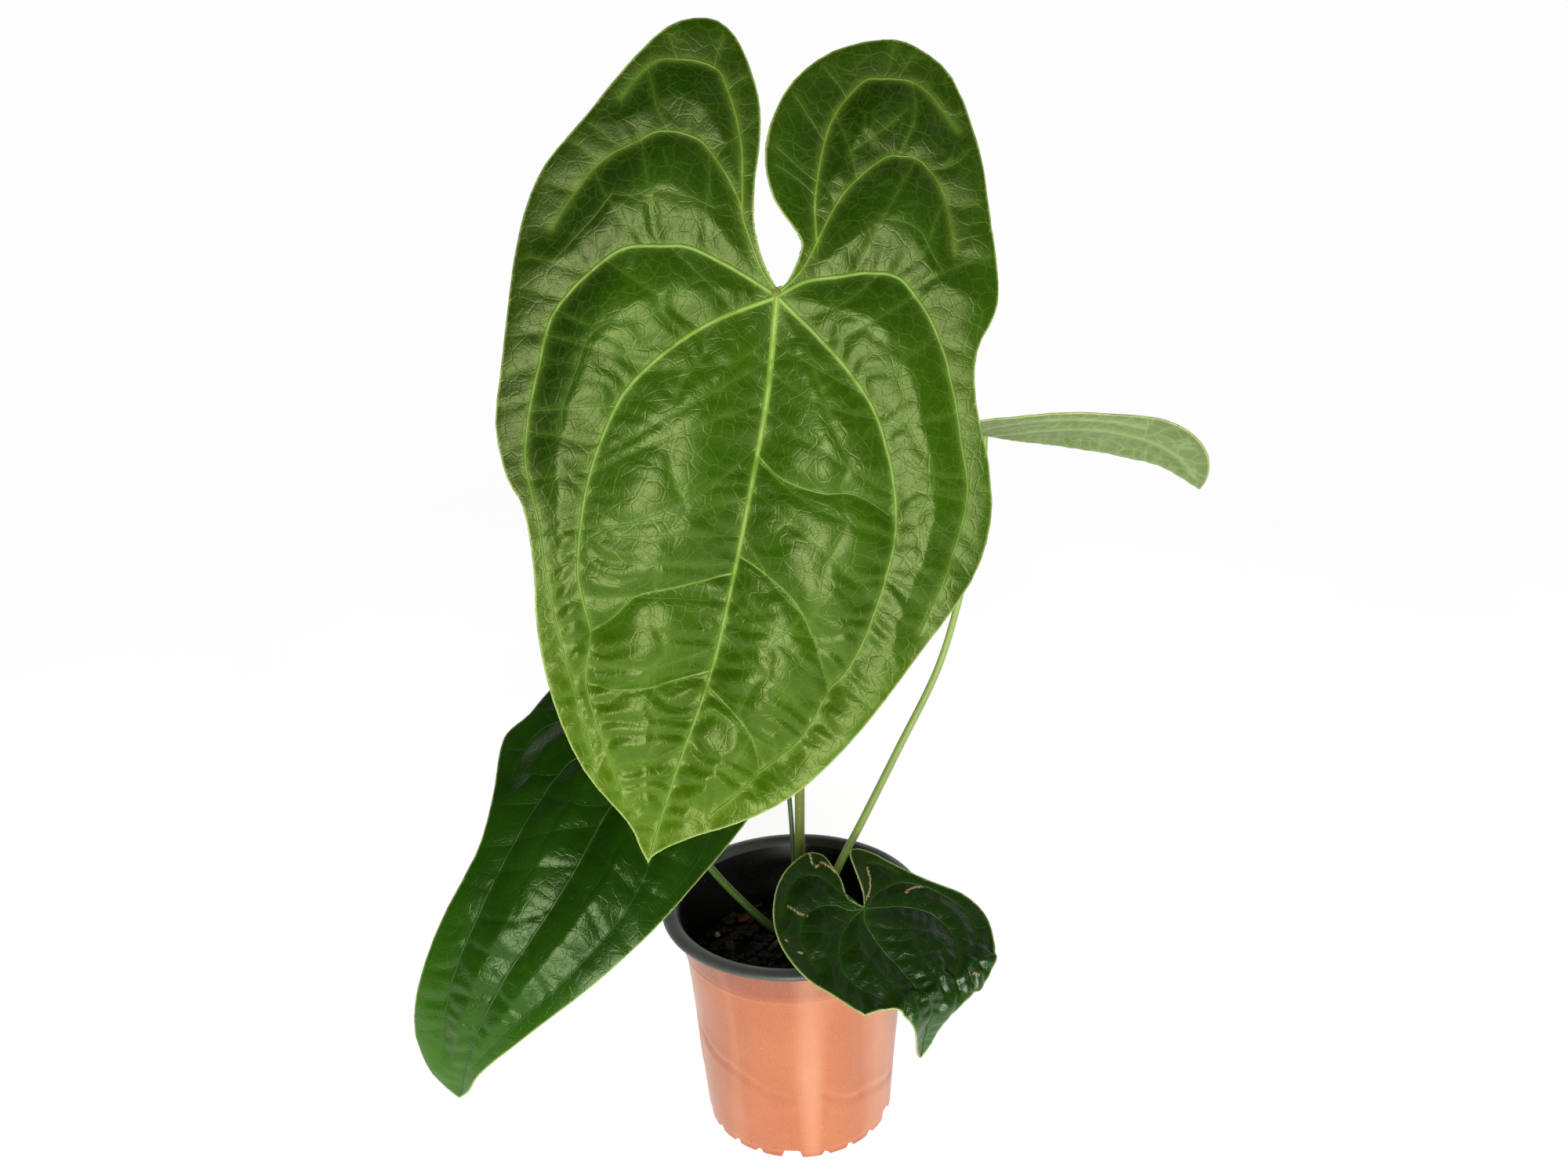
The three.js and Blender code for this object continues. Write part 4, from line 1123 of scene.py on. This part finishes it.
def wall_offset(angle, z):
    """How far the creases and dents push the wall in or out, in metres."""
    push = np.zeros_like(angle)
    surface = np.stack([np.radians(angle) * WALL_MEAN, z], axis=1)
    for line, depth, width in CREASES:
        samples = np.array([(math.radians(a) * WALL_MEAN, h * MM) for a, h in line])
        gap, _ = nearest(surface, along(smooth(samples, 6), 1 * MM))
        groove = np.exp(-((gap / (width * 0.35 * MM)) ** 2))
        shoulder = np.exp(-(((gap - width * MM) / (width * 0.8 * MM)) ** 2))
        push += (-depth * groove + 0.35 * depth * shoulder) * MM
    for degrees, height, depth, spread in DENTS:
        across = np.radians(angle - degrees) * WALL_MEAN
        push += depth * MM * np.exp(-(across**2 + (z - height * MM) ** 2) / (spread * MM) ** 2)
    fade = np.clip((z - 6 * MM) / (18 * MM), 0, 1) * np.clip((BAND_HEIGHT - 4 * MM - z) / (16 * MM), 0, 1)
    return push * fade


def foot_lift(degrees):
    """Height of the cut above the ground at this angle round the foot."""
    group = 360 / FEET["groups"]
    offset = (degrees - FEET["first"]) % group
    half = FEET["width"] / 2
    last = (FEET["per_group"] - 1) * FEET["pitch"]
    if offset > last + half and offset < group - half:
        edge = min(offset - last - half, group - half - offset)
        return FEET["notch"] * min(1.0, edge / 1.6)
    offset = offset if offset <= last + half else offset - group
    gap = abs(offset - round(offset / FEET["pitch"]) * FEET["pitch"]) - half
    return FEET["nick"] * min(1.0, max(0.0, gap) / 0.9)


def make_pot(props):
    """The whole pot, spun from its profile, its wall creased and its foot notched."""
    rows = pot_profile()
    bm = spun([(0, -radius, z) for radius, z, _ in rows], POT_STEPS)
    bmesh.ops.recalc_face_normals(bm, faces=bm.faces[:])
    mesh = mesh_from(bm, "pot")
    centres = np.empty(len(mesh.polygons) * 3)
    mesh.polygons.foreach_get("center", centres)
    centres = centres.reshape(-1, 3)
    profile = np.array(rows)
    middles = (profile[1:, :2] + profile[:-1, :2]) / 2
    _, index = nearest(np.stack([np.hypot(centres[:, 0], centres[:, 1]), centres[:, 2]], axis=1), middles)
    mesh.polygons.foreach_set("material_index", profile[index, 2].astype(np.int32))
    points = vertex_array(mesh)
    radius = np.hypot(points[:, 0], points[:, 1])
    angle = np.degrees(np.arctan2(points[:, 0], -points[:, 1]))
    wrapped = np.where(angle < -90, angle + 360, angle)
    height = points[:, 2].copy()
    on_wall = (radius > 50 * MM) & (height > 5.1 * MM) & (height < BAND_HEIGHT - 0.5 * MM)
    push = np.zeros(len(points))
    push[on_wall] = wall_offset(wrapped[on_wall], height[on_wall]) * props.crease_depth
    scale = np.where(radius > 0, (radius + push) / np.maximum(radius, 1e-9), 1)
    points[:, :2] *= scale[:, None]
    on_foot = (radius > 50 * MM) & (height < 0.1 * MM)
    points[on_foot, 2] += [foot_lift(a % 360) for a in angle[on_foot]]
    set_vertices(mesh, points)
    obj = link_object("two_tone_pot", mesh, pot_outside_material(props),
                      # Painted light and shade: the lip is the black plastic painted lighter grey, the inside
                      # painted darker as shade.
                      black_plastic("lip_painted_lit", rgb(62, 64, 61), rgb(92, 94, 89), 0.34),
                      black_plastic("black_inside_painted_shade", rgb(12, 12, 10), rgb(24, 24, 21), 0.3))
    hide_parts("nursery_pot")
    return obj


# ------------------------------------------------------------------ mix, stem and roots
def soil_height(x, y):
    """Height of the mix: a low uneven mound round the stem."""
    share = min(1.0, math.hypot(x, y) / MIX_RADIUS)
    mx, my = x / MM, y / MM
    waves = math.sin(mx * 0.31 + 1.3) * math.cos(my * 0.27) + math.sin((mx + my) * 0.17)
    return SOIL_LINE - SOIL_MOUND * share * share + 1.1 * MM * waves * (1 - share)


def make_mix():
    """The body of the mix, with a crumbly top."""
    bm = bmesh.new()
    bmesh.ops.create_circle(bm, cap_ends=True, radius=MIX_RADIUS, segments=120)
    disc = bm.faces[:]
    for _ in range(MIX_RINGS):
        bmesh.ops.inset_region(bm, faces=disc, thickness=MIX_RADIUS / (MIX_RINGS + 2), use_even_offset=False)
    for vert in bm.verts:
        x, y, _ = vert.co
        clod = noise.fractal(Vector((x * 160, y * 160, 2.0)), 0.7, 2.0, 4)
        vert.co.z = soil_height(x, y) + 1.3 * MM * clod - 0.6 * MM
    rim = [e for e in bm.edges if e.is_boundary]
    low = MIX_LOW[2] + 0.1 * MM
    skirt = bmesh.ops.extrude_edge_only(bm, edges=rim)["geom"]
    foot = [g for g in skirt if isinstance(g, bmesh.types.BMVert)]
    for vert in foot:
        vert.co.z = low
        vert.co.xy *= (inner_radius(low) - 6 * MM) / MIX_RADIUS
    floor_ring = [g for g in skirt if isinstance(g, bmesh.types.BMEdge) and g.is_boundary]
    bmesh.ops.contextual_create(bm, geom=floor_ring)
    bmesh.ops.recalc_face_normals(bm, faces=bm.faces[:])
    # Dark peat, painted darker still as the shade that lies down in the pot.
    material = bark_material("peat_mix_painted_shade", rgb(13, 9, 7), rgb(44, 30, 22), 320.0)
    obj = link_object("mix_body", mesh_from(bm, "mix"), material)
    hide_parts("potting_mix")
    return obj


def rough_lump(size, seed, chips=2):
    """An irregular broken lump about the origin."""
    bm = bmesh.new()
    bmesh.ops.create_cube(bm, size=1.0)
    bmesh.ops.bevel(bm, geom=bm.edges[:], offset=0.16, segments=1, profile=0.5, affect="EDGES", material=-1)
    bmesh.ops.subdivide_edges(bm, edges=bm.edges[:], cuts=chips, use_grid_fill=True)
    for vert in bm.verts:
        vert.co = vert.co * (1 + 0.35 * noise.noise(vert.co * 2.3 + Vector((seed, 0, 0))))
    bmesh.ops.scale(bm, vec=size, verts=bm.verts[:])
    return bm


def make_crumbs(props):
    """Loose crumbs of bark over the top of the mix, as one piece."""
    rng = np.random.default_rng(props.seed)
    shapes = []
    for kind in range(4):
        lump = rough_lump((1, 0.62, 0.34), kind * 3.7, 0)
        shapes.append(mesh_from(lump, "crumb", False))
    whole = bmesh.new()
    for _ in range(props.crumbs):
        radius = MIX_RADIUS * 0.96 * math.sqrt(rng.uniform(0.02, 1))
        x, y = on_ring(radius, rng.uniform(0, 360))
        size = rng.uniform(1.6, 6.5) * MM
        place = Matrix.Translation((x, y, soil_height(x, y) + size * 0.06))
        turn = Matrix.Rotation(rng.uniform(0, 6.28), 4, "Z") @ Matrix.Rotation(rng.normal(0, 0.35), 4, "X")
        keep = math.hypot(x - STEM_CENTRE[0], y - STEM_CENTRE[1]) > STEM_RADIUS + size
        if not keep or radius + size * 0.5 > MIX_RADIUS:
            continue
        shape = shapes[int(rng.integers(4))]
        first = len(whole.verts)
        whole.from_mesh(shape)
        whole.verts.ensure_lookup_table()
        bmesh.ops.transform(whole, matrix=place @ turn @ Matrix.Scale(size, 4), verts=whole.verts[first:])
    material = bark_material("bark_crumbs", rgb(16, 10, 8), rgb(70, 44, 30), 420.0)
    obj = link_object("bark_crumbs", mesh_from(whole, "crumbs", False), material)
    return obj


def make_bark():
    """The larger bark chips, each where its solid lies."""
    material = bark_material("red_bark", rgb(44, 20, 12), rgb(112, 60, 36), 260.0)
    turns = [20, 110, 65, 140, 30, 80, 10, 155]
    sizes = [(13, 8, 4), (11, 7, 4), (15, 7, 4.5), (12, 8, 4), (12, 6, 4), (11, 8, 3.5), (10, 7, 4),
             (12, 6, 4)]
    for i, (turn, size) in enumerate(zip(turns, sizes), start=1):
        low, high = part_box(f"bark_chip_{i}")
        bm = rough_lump([s * 0.86 * MM for s in size], i * 1.9)
        centre = [(a + b) / 2 for a, b in zip(low, high)]
        turned = Matrix.Translation(centre) @ Matrix.Rotation(math.radians(turn), 4, "Z")
        bmesh.ops.transform(bm, matrix=turned, verts=bm.verts[:])
        piece = link_object(f"bark_slab_{i}", mesh_from(bm, "bark"), material)
        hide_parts(f"bark_chip_{i}")


def make_perlite():
    """White grains of perlite, each where its solid lies."""
    material = bark_material("perlite_white", rgb(170, 166, 156), rgb(236, 232, 224), 900.0)
    for i in range(1, 7):
        low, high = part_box(f"perlite_{i}")
        size = min(b - a for a, b in zip(low, high))
        bm = bmesh.new()
        bmesh.ops.create_icosphere(bm, subdivisions=3, radius=size / 2)
        for vert in bm.verts:
            vert.co *= 1 + 0.22 * noise.noise(vert.co * 1400 + Vector((i, 0, 0)))
        bmesh.ops.translate(bm, vec=[(a + b) / 2 for a, b in zip(low, high)], verts=bm.verts[:])
        piece = link_object(f"perlite_grain_{i}", mesh_from(bm, "perlite"), material)
        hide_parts(f"perlite_{i}")


def make_straw():
    """One dry straw lying on the mix."""
    low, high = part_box("straw")
    start = Vector((low[0] + 0.6 * MM, high[1] - 0.9 * MM, high[2] - 0.9 * MM))
    end = Vector((high[0] - 0.6 * MM, low[1] + 0.9 * MM, low[2] + 0.9 * MM))
    line = along(np.array([start, end]), 1 * MM)
    radii = (0.8 + 0.08 * np.sin(np.arange(len(line)) * 0.9)) * MM
    material = bark_material("dry_straw", rgb(120, 92, 48), rgb(196, 164, 100), 300.0)
    piece = link_object("dry_straw", tube_mesh([(line, radii)]), material)
    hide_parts("straw")


def make_stem():
    """The short ringed stem."""
    height = STEM_HIGH[2] - STEM_LOW[2]
    rows = [(0.0, 0.0)]
    for share in np.linspace(0, 1, 40):
        waist = 0.55 + 0.45 * min(1.0, share / 0.4)
        ring = 0.03 * math.sin(share * 34) * (share > 0.5)
        edge = 1 - 0.16 * max(0.0, (share - 0.93) / 0.07) ** 2
        rows.append((STEM_RADIUS * (waist * 0.96 + ring) * edge, share * height))
    rows.append((0.0, height))
    bm = spun([(radius, 0, z) for radius, z in rows], STEM_STEPS)
    for vert in bm.verts:
        if 1e-6 < vert.co.xy.length:
            vert.co.xy *= 1 + 0.04 * noise.noise(vert.co * 260)
    bmesh.ops.translate(bm, vec=(*STEM_CENTRE, STEM_LOW[2]), verts=bm.verts[:])
    bmesh.ops.recalc_face_normals(bm, faces=bm.faces[:])
    material = bark_material("stem_skin", rgb(60, 62, 24), rgb(112, 108, 54), 240.0)
    piece = link_object("ringed_stem", mesh_from(bm, "stem"), material)
    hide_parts("stem")


def make_roots():
    """Three short aerial roots that enter the mix."""
    material = bark_material("root_skin", rgb(92, 76, 48), rgb(150, 132, 92), 260.0)
    for i, angle in enumerate((190, 325, 82), start=1):
        near, reach = STEM_RADIUS + GAP, 13 * MM
        top = SOIL_LINE + 5 * MM
        stops = [(near, top), (near + reach / 3, top - 0.5 * MM), (near + 2 * reach / 3, SOIL_LINE),
                 (near + reach, SOIL_LINE - 9 * MM)]
        path = []
        for radius, z in stops:
            x, y = on_ring(radius, angle)
            path.append((x + STEM_CENTRE[0], y + STEM_CENTRE[1], z))
        line = along(smooth(path, 8), 0.6 * MM)
        radii = np.linspace(1.75, 1.15, len(line)) * (1 + 0.05 * np.sin(np.arange(len(line)) * 1.1)) * MM
        piece = link_object(f"corky_root_{i}", tube_mesh([(line, radii)], sides=3), material)
        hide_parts(f"aerial_root_{i}")


def dress_sheaths():
    """Gives the papery sheaths at the crown their skin."""
    material = bark_material("dry_sheath", rgb(96, 70, 38), rgb(166, 132, 84), 420.0)
    for i in (1, 2, 3):
        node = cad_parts[f"leaf_sheath_{i}"]
        for slot in node.material_slots:
            slot.material = material


# ------------------------------------------------------------------ settings
def colour_setting(name, description, levels):
    """A colour that the panel shows."""
    return FloatVectorProperty(name=name, description=description, subtype="COLOR", size=4, min=0, max=1,
                               default=rgb(*levels))


class AnthuriumPot(bpy.types.PropertyGroup):
    """Colours and creases of the pot."""

    wall_colour: colour_setting("Wall colour", "Terracotta of the outside", (176, 90, 34))
    wall_light: colour_setting("Light wall colour", "Chalky patches of the outside", (190, 106, 52))
    collar_colour: colour_setting("Collar colour", "Deeper tone of the collar", (130, 56, 18))
    crease_depth: FloatProperty(name="Crease depth", description="Scale of the creases and dents",
                                default=1.0, min=0, max=2)


class AnthuriumLeaves(bpy.types.PropertyGroup):
    """Thickness and relief of the blades."""

    thickness: FloatProperty(name="Blade thickness", description="Thickness of every blade", unit="LENGTH",
                             default=0.8 * MM, min=0.0002)
    quilt_depth: FloatProperty(name="Quilt depth", description="Scale of the bulges between veins",
                               default=1.0, min=0, max=3)
    facet: FloatProperty(name="Facet size", description="Edge of the smallest facets on the large blades",
                         unit="LENGTH", default=1.4 * MM, min=0.0005)


class AnthuriumMix(bpy.types.PropertyGroup):
    """The crumbs on the mix."""

    crumbs: IntProperty(name="Crumbs", description="How many loose crumbs are scattered", default=420, min=0)
    seed: IntProperty(name="Seed", description="Where the crumbs fall", default=11)


class AnthuriumStage(bpy.types.PropertyGroup):
    """Camera and lights."""

    camera_place: FloatVectorProperty(name="Camera place", description="Where the camera stands",
                                      subtype="XYZ", unit="LENGTH", default=(0.0, -0.628, 0.525))
    lens: FloatProperty(name="Lens", description="Focal length in mm on a 36 mm sensor", default=28.8, min=1)
    pitch: FloatProperty(name="Pitch", description="Degrees the camera looks down", default=18.05)
    yaw: FloatProperty(name="Yaw", description="Degrees the camera is turned to the left", default=-0.13)
    roll: FloatProperty(name="Roll", description="Degrees the camera is rolled", default=-2.10)
    key_power: FloatProperty(name="Key light", description="Power of the front softbox in watts",
                             default=40.0, min=0)
    room_level: FloatProperty(name="Room", description="Brightness of the room in front of the plant",
                              default=0.05, min=0)
    paper_level: FloatProperty(name="Paper", description="Brightness of the white paper behind",
                               default=0.985, min=0)


# ------------------------------------------------------------------ operators
class ANTHURIUM_OT_stage(bpy.types.Operator):
    """Floor, surroundings, lights and camera"""

    bl_idname = "anthurium.stage"
    bl_label = "Stage"

    def execute(self, context):
        props = context.scene.anthurium_stage
        bm = bmesh.new()
        bmesh.ops.create_grid(bm, x_segments=1, y_segments=1, size=FLOOR_HALF)
        floor = link_object("floor", mesh_from(bm, "floor"), self.floor_material())
        self.surroundings(context, props)
        self.area("front_softbox", props.key_power, **FRONT_SOFTBOX)
        self.area("top_softbox", props.key_power * TOP_SHARE, **TOP_SOFTBOX)
        self.camera(context, props)
        context.scene.view_settings.view_transform = "Standard"
        return {"FINISHED"}

    def floor_material(self):
        """White floor that glows a little and fades out round the plant."""
        material, tree, shader, _ = new_material("pale_floor")
        place = object_place(tree)
        cloud = noise_at(tree, place, 3.0, 3.0)
        away = add_node(tree, "ShaderNodeVectorMath", {"operation": "LENGTH"}, _0=place).outputs["Value"]
        feed(tree, shader, Base_Color=mix_colour(tree, cloud, rgb(243, 243, 242), rgb(248, 248, 247)),
             Emission_Color=mix_colour(tree, cloud, rgb(240, 240, 240), rgb(250, 250, 250)),
             Emission_Strength=0.85, Roughness=0.7, Alpha=ranged(tree, away, 0.6, 2.4, 1.0, 0.0))
        return material

    def surroundings(self, context, props):
        """A dim room in front, bright paper low behind, and plain white where the camera looks."""
        world = bpy.data.worlds.new("white_room")
        world.use_nodes = True
        tree = world.node_tree
        tree.nodes.clear()
        heading = tree.nodes.new("ShaderNodeTexCoord").outputs["Generated"]
        parts = add_node(tree, "ShaderNodeSeparateXYZ", None, Vector=heading).outputs
        behind = ranged(tree, parts["Y"], 0.15, 0.6)
        low = ranged(tree, parts["Z"], 0.25, 0.75, 1.0, 0.0)
        level = ranged(tree, times(tree, behind, low), 0.0, 1.0, props.room_level, 1.0)
        white = rgb(255, 255, 255)
        room = add_node(tree, "ShaderNodeBackground", None, Color=white, Strength=level)
        paper = add_node(tree, "ShaderNodeBackground", None, Color=white, Strength=props.paper_level)
        seen = tree.nodes.new("ShaderNodeLightPath").outputs["Is Camera Ray"]
        both = add_node(tree, "ShaderNodeMixShader", None, _0=seen, _1=room.outputs[0], _2=paper.outputs[0])
        ending = tree.nodes.new("ShaderNodeOutputWorld")
        tree.links.new(both.outputs[0], ending.inputs["Surface"])
        context.scene.world = world

    def area(self, name, power, place, target, size):
        """A square softbox aimed at a point."""
        light = bpy.data.lights.new(name, "AREA")
        light.shape = "SQUARE"
        light.size = size
        light.energy = power
        obj = bpy.data.objects.new(name, light)
        obj.location = place
        obj.rotation_euler = (Vector(target) - Vector(place)).to_track_quat("-Z", "Y").to_euler()
        bpy.context.scene.collection.objects.link(obj)

    def camera(self, context, props):
        """The camera, from its place, its turns and its lens."""
        pitch, yaw, roll = (math.radians(v) for v in (props.pitch, props.yaw, props.roll))
        right = Vector((math.cos(yaw), math.sin(yaw), 0))
        level = Vector((-math.sin(yaw), math.cos(yaw), 0))
        forward = level * math.cos(pitch) - Vector((0, 0, 1)) * math.sin(pitch)
        up = level * math.sin(pitch) + Vector((0, 0, 1)) * math.cos(pitch)
        rolled_right = right * math.cos(roll) + up * math.sin(roll)
        rolled_up = up * math.cos(roll) - right * math.sin(roll)
        data = bpy.data.cameras.new("camera")
        data.sensor_width = 36.0
        data.lens = props.lens
        data.clip_start = 0.01
        camera = bpy.data.objects.new("camera", data)
        turn = Matrix((rolled_right, rolled_up, -forward)).transposed().to_4x4()
        camera.matrix_world = Matrix.Translation(props.camera_place) @ turn
        context.scene.collection.objects.link(camera)
        context.scene.camera = camera


class ANTHURIUM_OT_pot(bpy.types.Operator):
    """The two-tone nursery pot"""

    bl_idname = "anthurium.pot"
    bl_label = "Pot"

    def execute(self, context):
        make_pot(context.scene.anthurium_pot)
        return {"FINISHED"}


class ANTHURIUM_OT_mix(bpy.types.Operator):
    """The potting mix with its crumbs, bark, perlite and straw"""

    bl_idname = "anthurium.mix"
    bl_label = "Potting mix"

    def execute(self, context):
        props = context.scene.anthurium_mix
        make_mix()
        make_crumbs(props)
        make_bark()
        make_perlite()
        make_straw()
        return {"FINISHED"}


class ANTHURIUM_OT_crown(bpy.types.Operator):
    """Stem, aerial roots and dry sheaths"""

    bl_idname = "anthurium.crown"
    bl_label = "Stem and roots"

    def execute(self, context):
        make_stem()
        make_roots()
        dress_sheaths()
        return {"FINISHED"}


class ANTHURIUM_OT_leaves(bpy.types.Operator):
    """Every leaf: blade, veins and stalk"""

    bl_idname = "anthurium.leaves"
    bl_label = "Leaves"

    def execute(self, context):
        props = context.scene.anthurium_leaves
        for leaf in LEAVES:
            blade, surface = make_blade(leaf, props)
            veins = make_veins(leaf, surface)
            make_stalk(leaf, surface)
        return {"FINISHED"}


class ANTHURIUM_PT_panel(bpy.types.Panel):
    """Lists the steps and their settings"""

    bl_label = "Potted anthurium"
    bl_idname = "ANTHURIUM_PT_panel"
    bl_space_type = "VIEW_3D"
    bl_region_type = "UI"
    bl_category = "Plant"

    def draw(self, context):
        scene = context.scene
        for step, settings in STEPS:
            self.layout.operator(step.bl_idname)
            if settings:
                group = getattr(scene, settings)
                for key in group.bl_rna.properties.keys():
                    if key not in ("rna_type", "name"):
                        self.layout.prop(group, key)


STEPS = (
    (ANTHURIUM_OT_stage, "anthurium_stage"),
    (ANTHURIUM_OT_pot, "anthurium_pot"),
    (ANTHURIUM_OT_mix, "anthurium_mix"),
    (ANTHURIUM_OT_crown, None),
    (ANTHURIUM_OT_leaves, "anthurium_leaves"),
)
GROUPS = {
    "anthurium_stage": AnthuriumStage,
    "anthurium_pot": AnthuriumPot,
    "anthurium_mix": AnthuriumMix,
    "anthurium_leaves": AnthuriumLeaves,
}


def register():
    for name, group in GROUPS.items():
        bpy.utils.register_class(group)
        setattr(bpy.types.Scene, name, PointerProperty(type=group))
    for step, _ in STEPS:
        bpy.utils.register_class(step)
    bpy.utils.register_class(ANTHURIUM_PT_panel)


def unregister():
    bpy.utils.unregister_class(ANTHURIUM_PT_panel)
    for step, _ in reversed(STEPS):
        bpy.utils.unregister_class(step)
    for name, group in GROUPS.items():
        delattr(bpy.types.Scene, name)
        bpy.utils.unregister_class(group)


def main():
    register()
    bpy.ops.anthurium.stage()
    bpy.ops.anthurium.pot()
    bpy.ops.anthurium.mix()
    bpy.ops.anthurium.crown()
    bpy.ops.anthurium.leaves()
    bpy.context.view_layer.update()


if __name__ == "__main__":
    main()
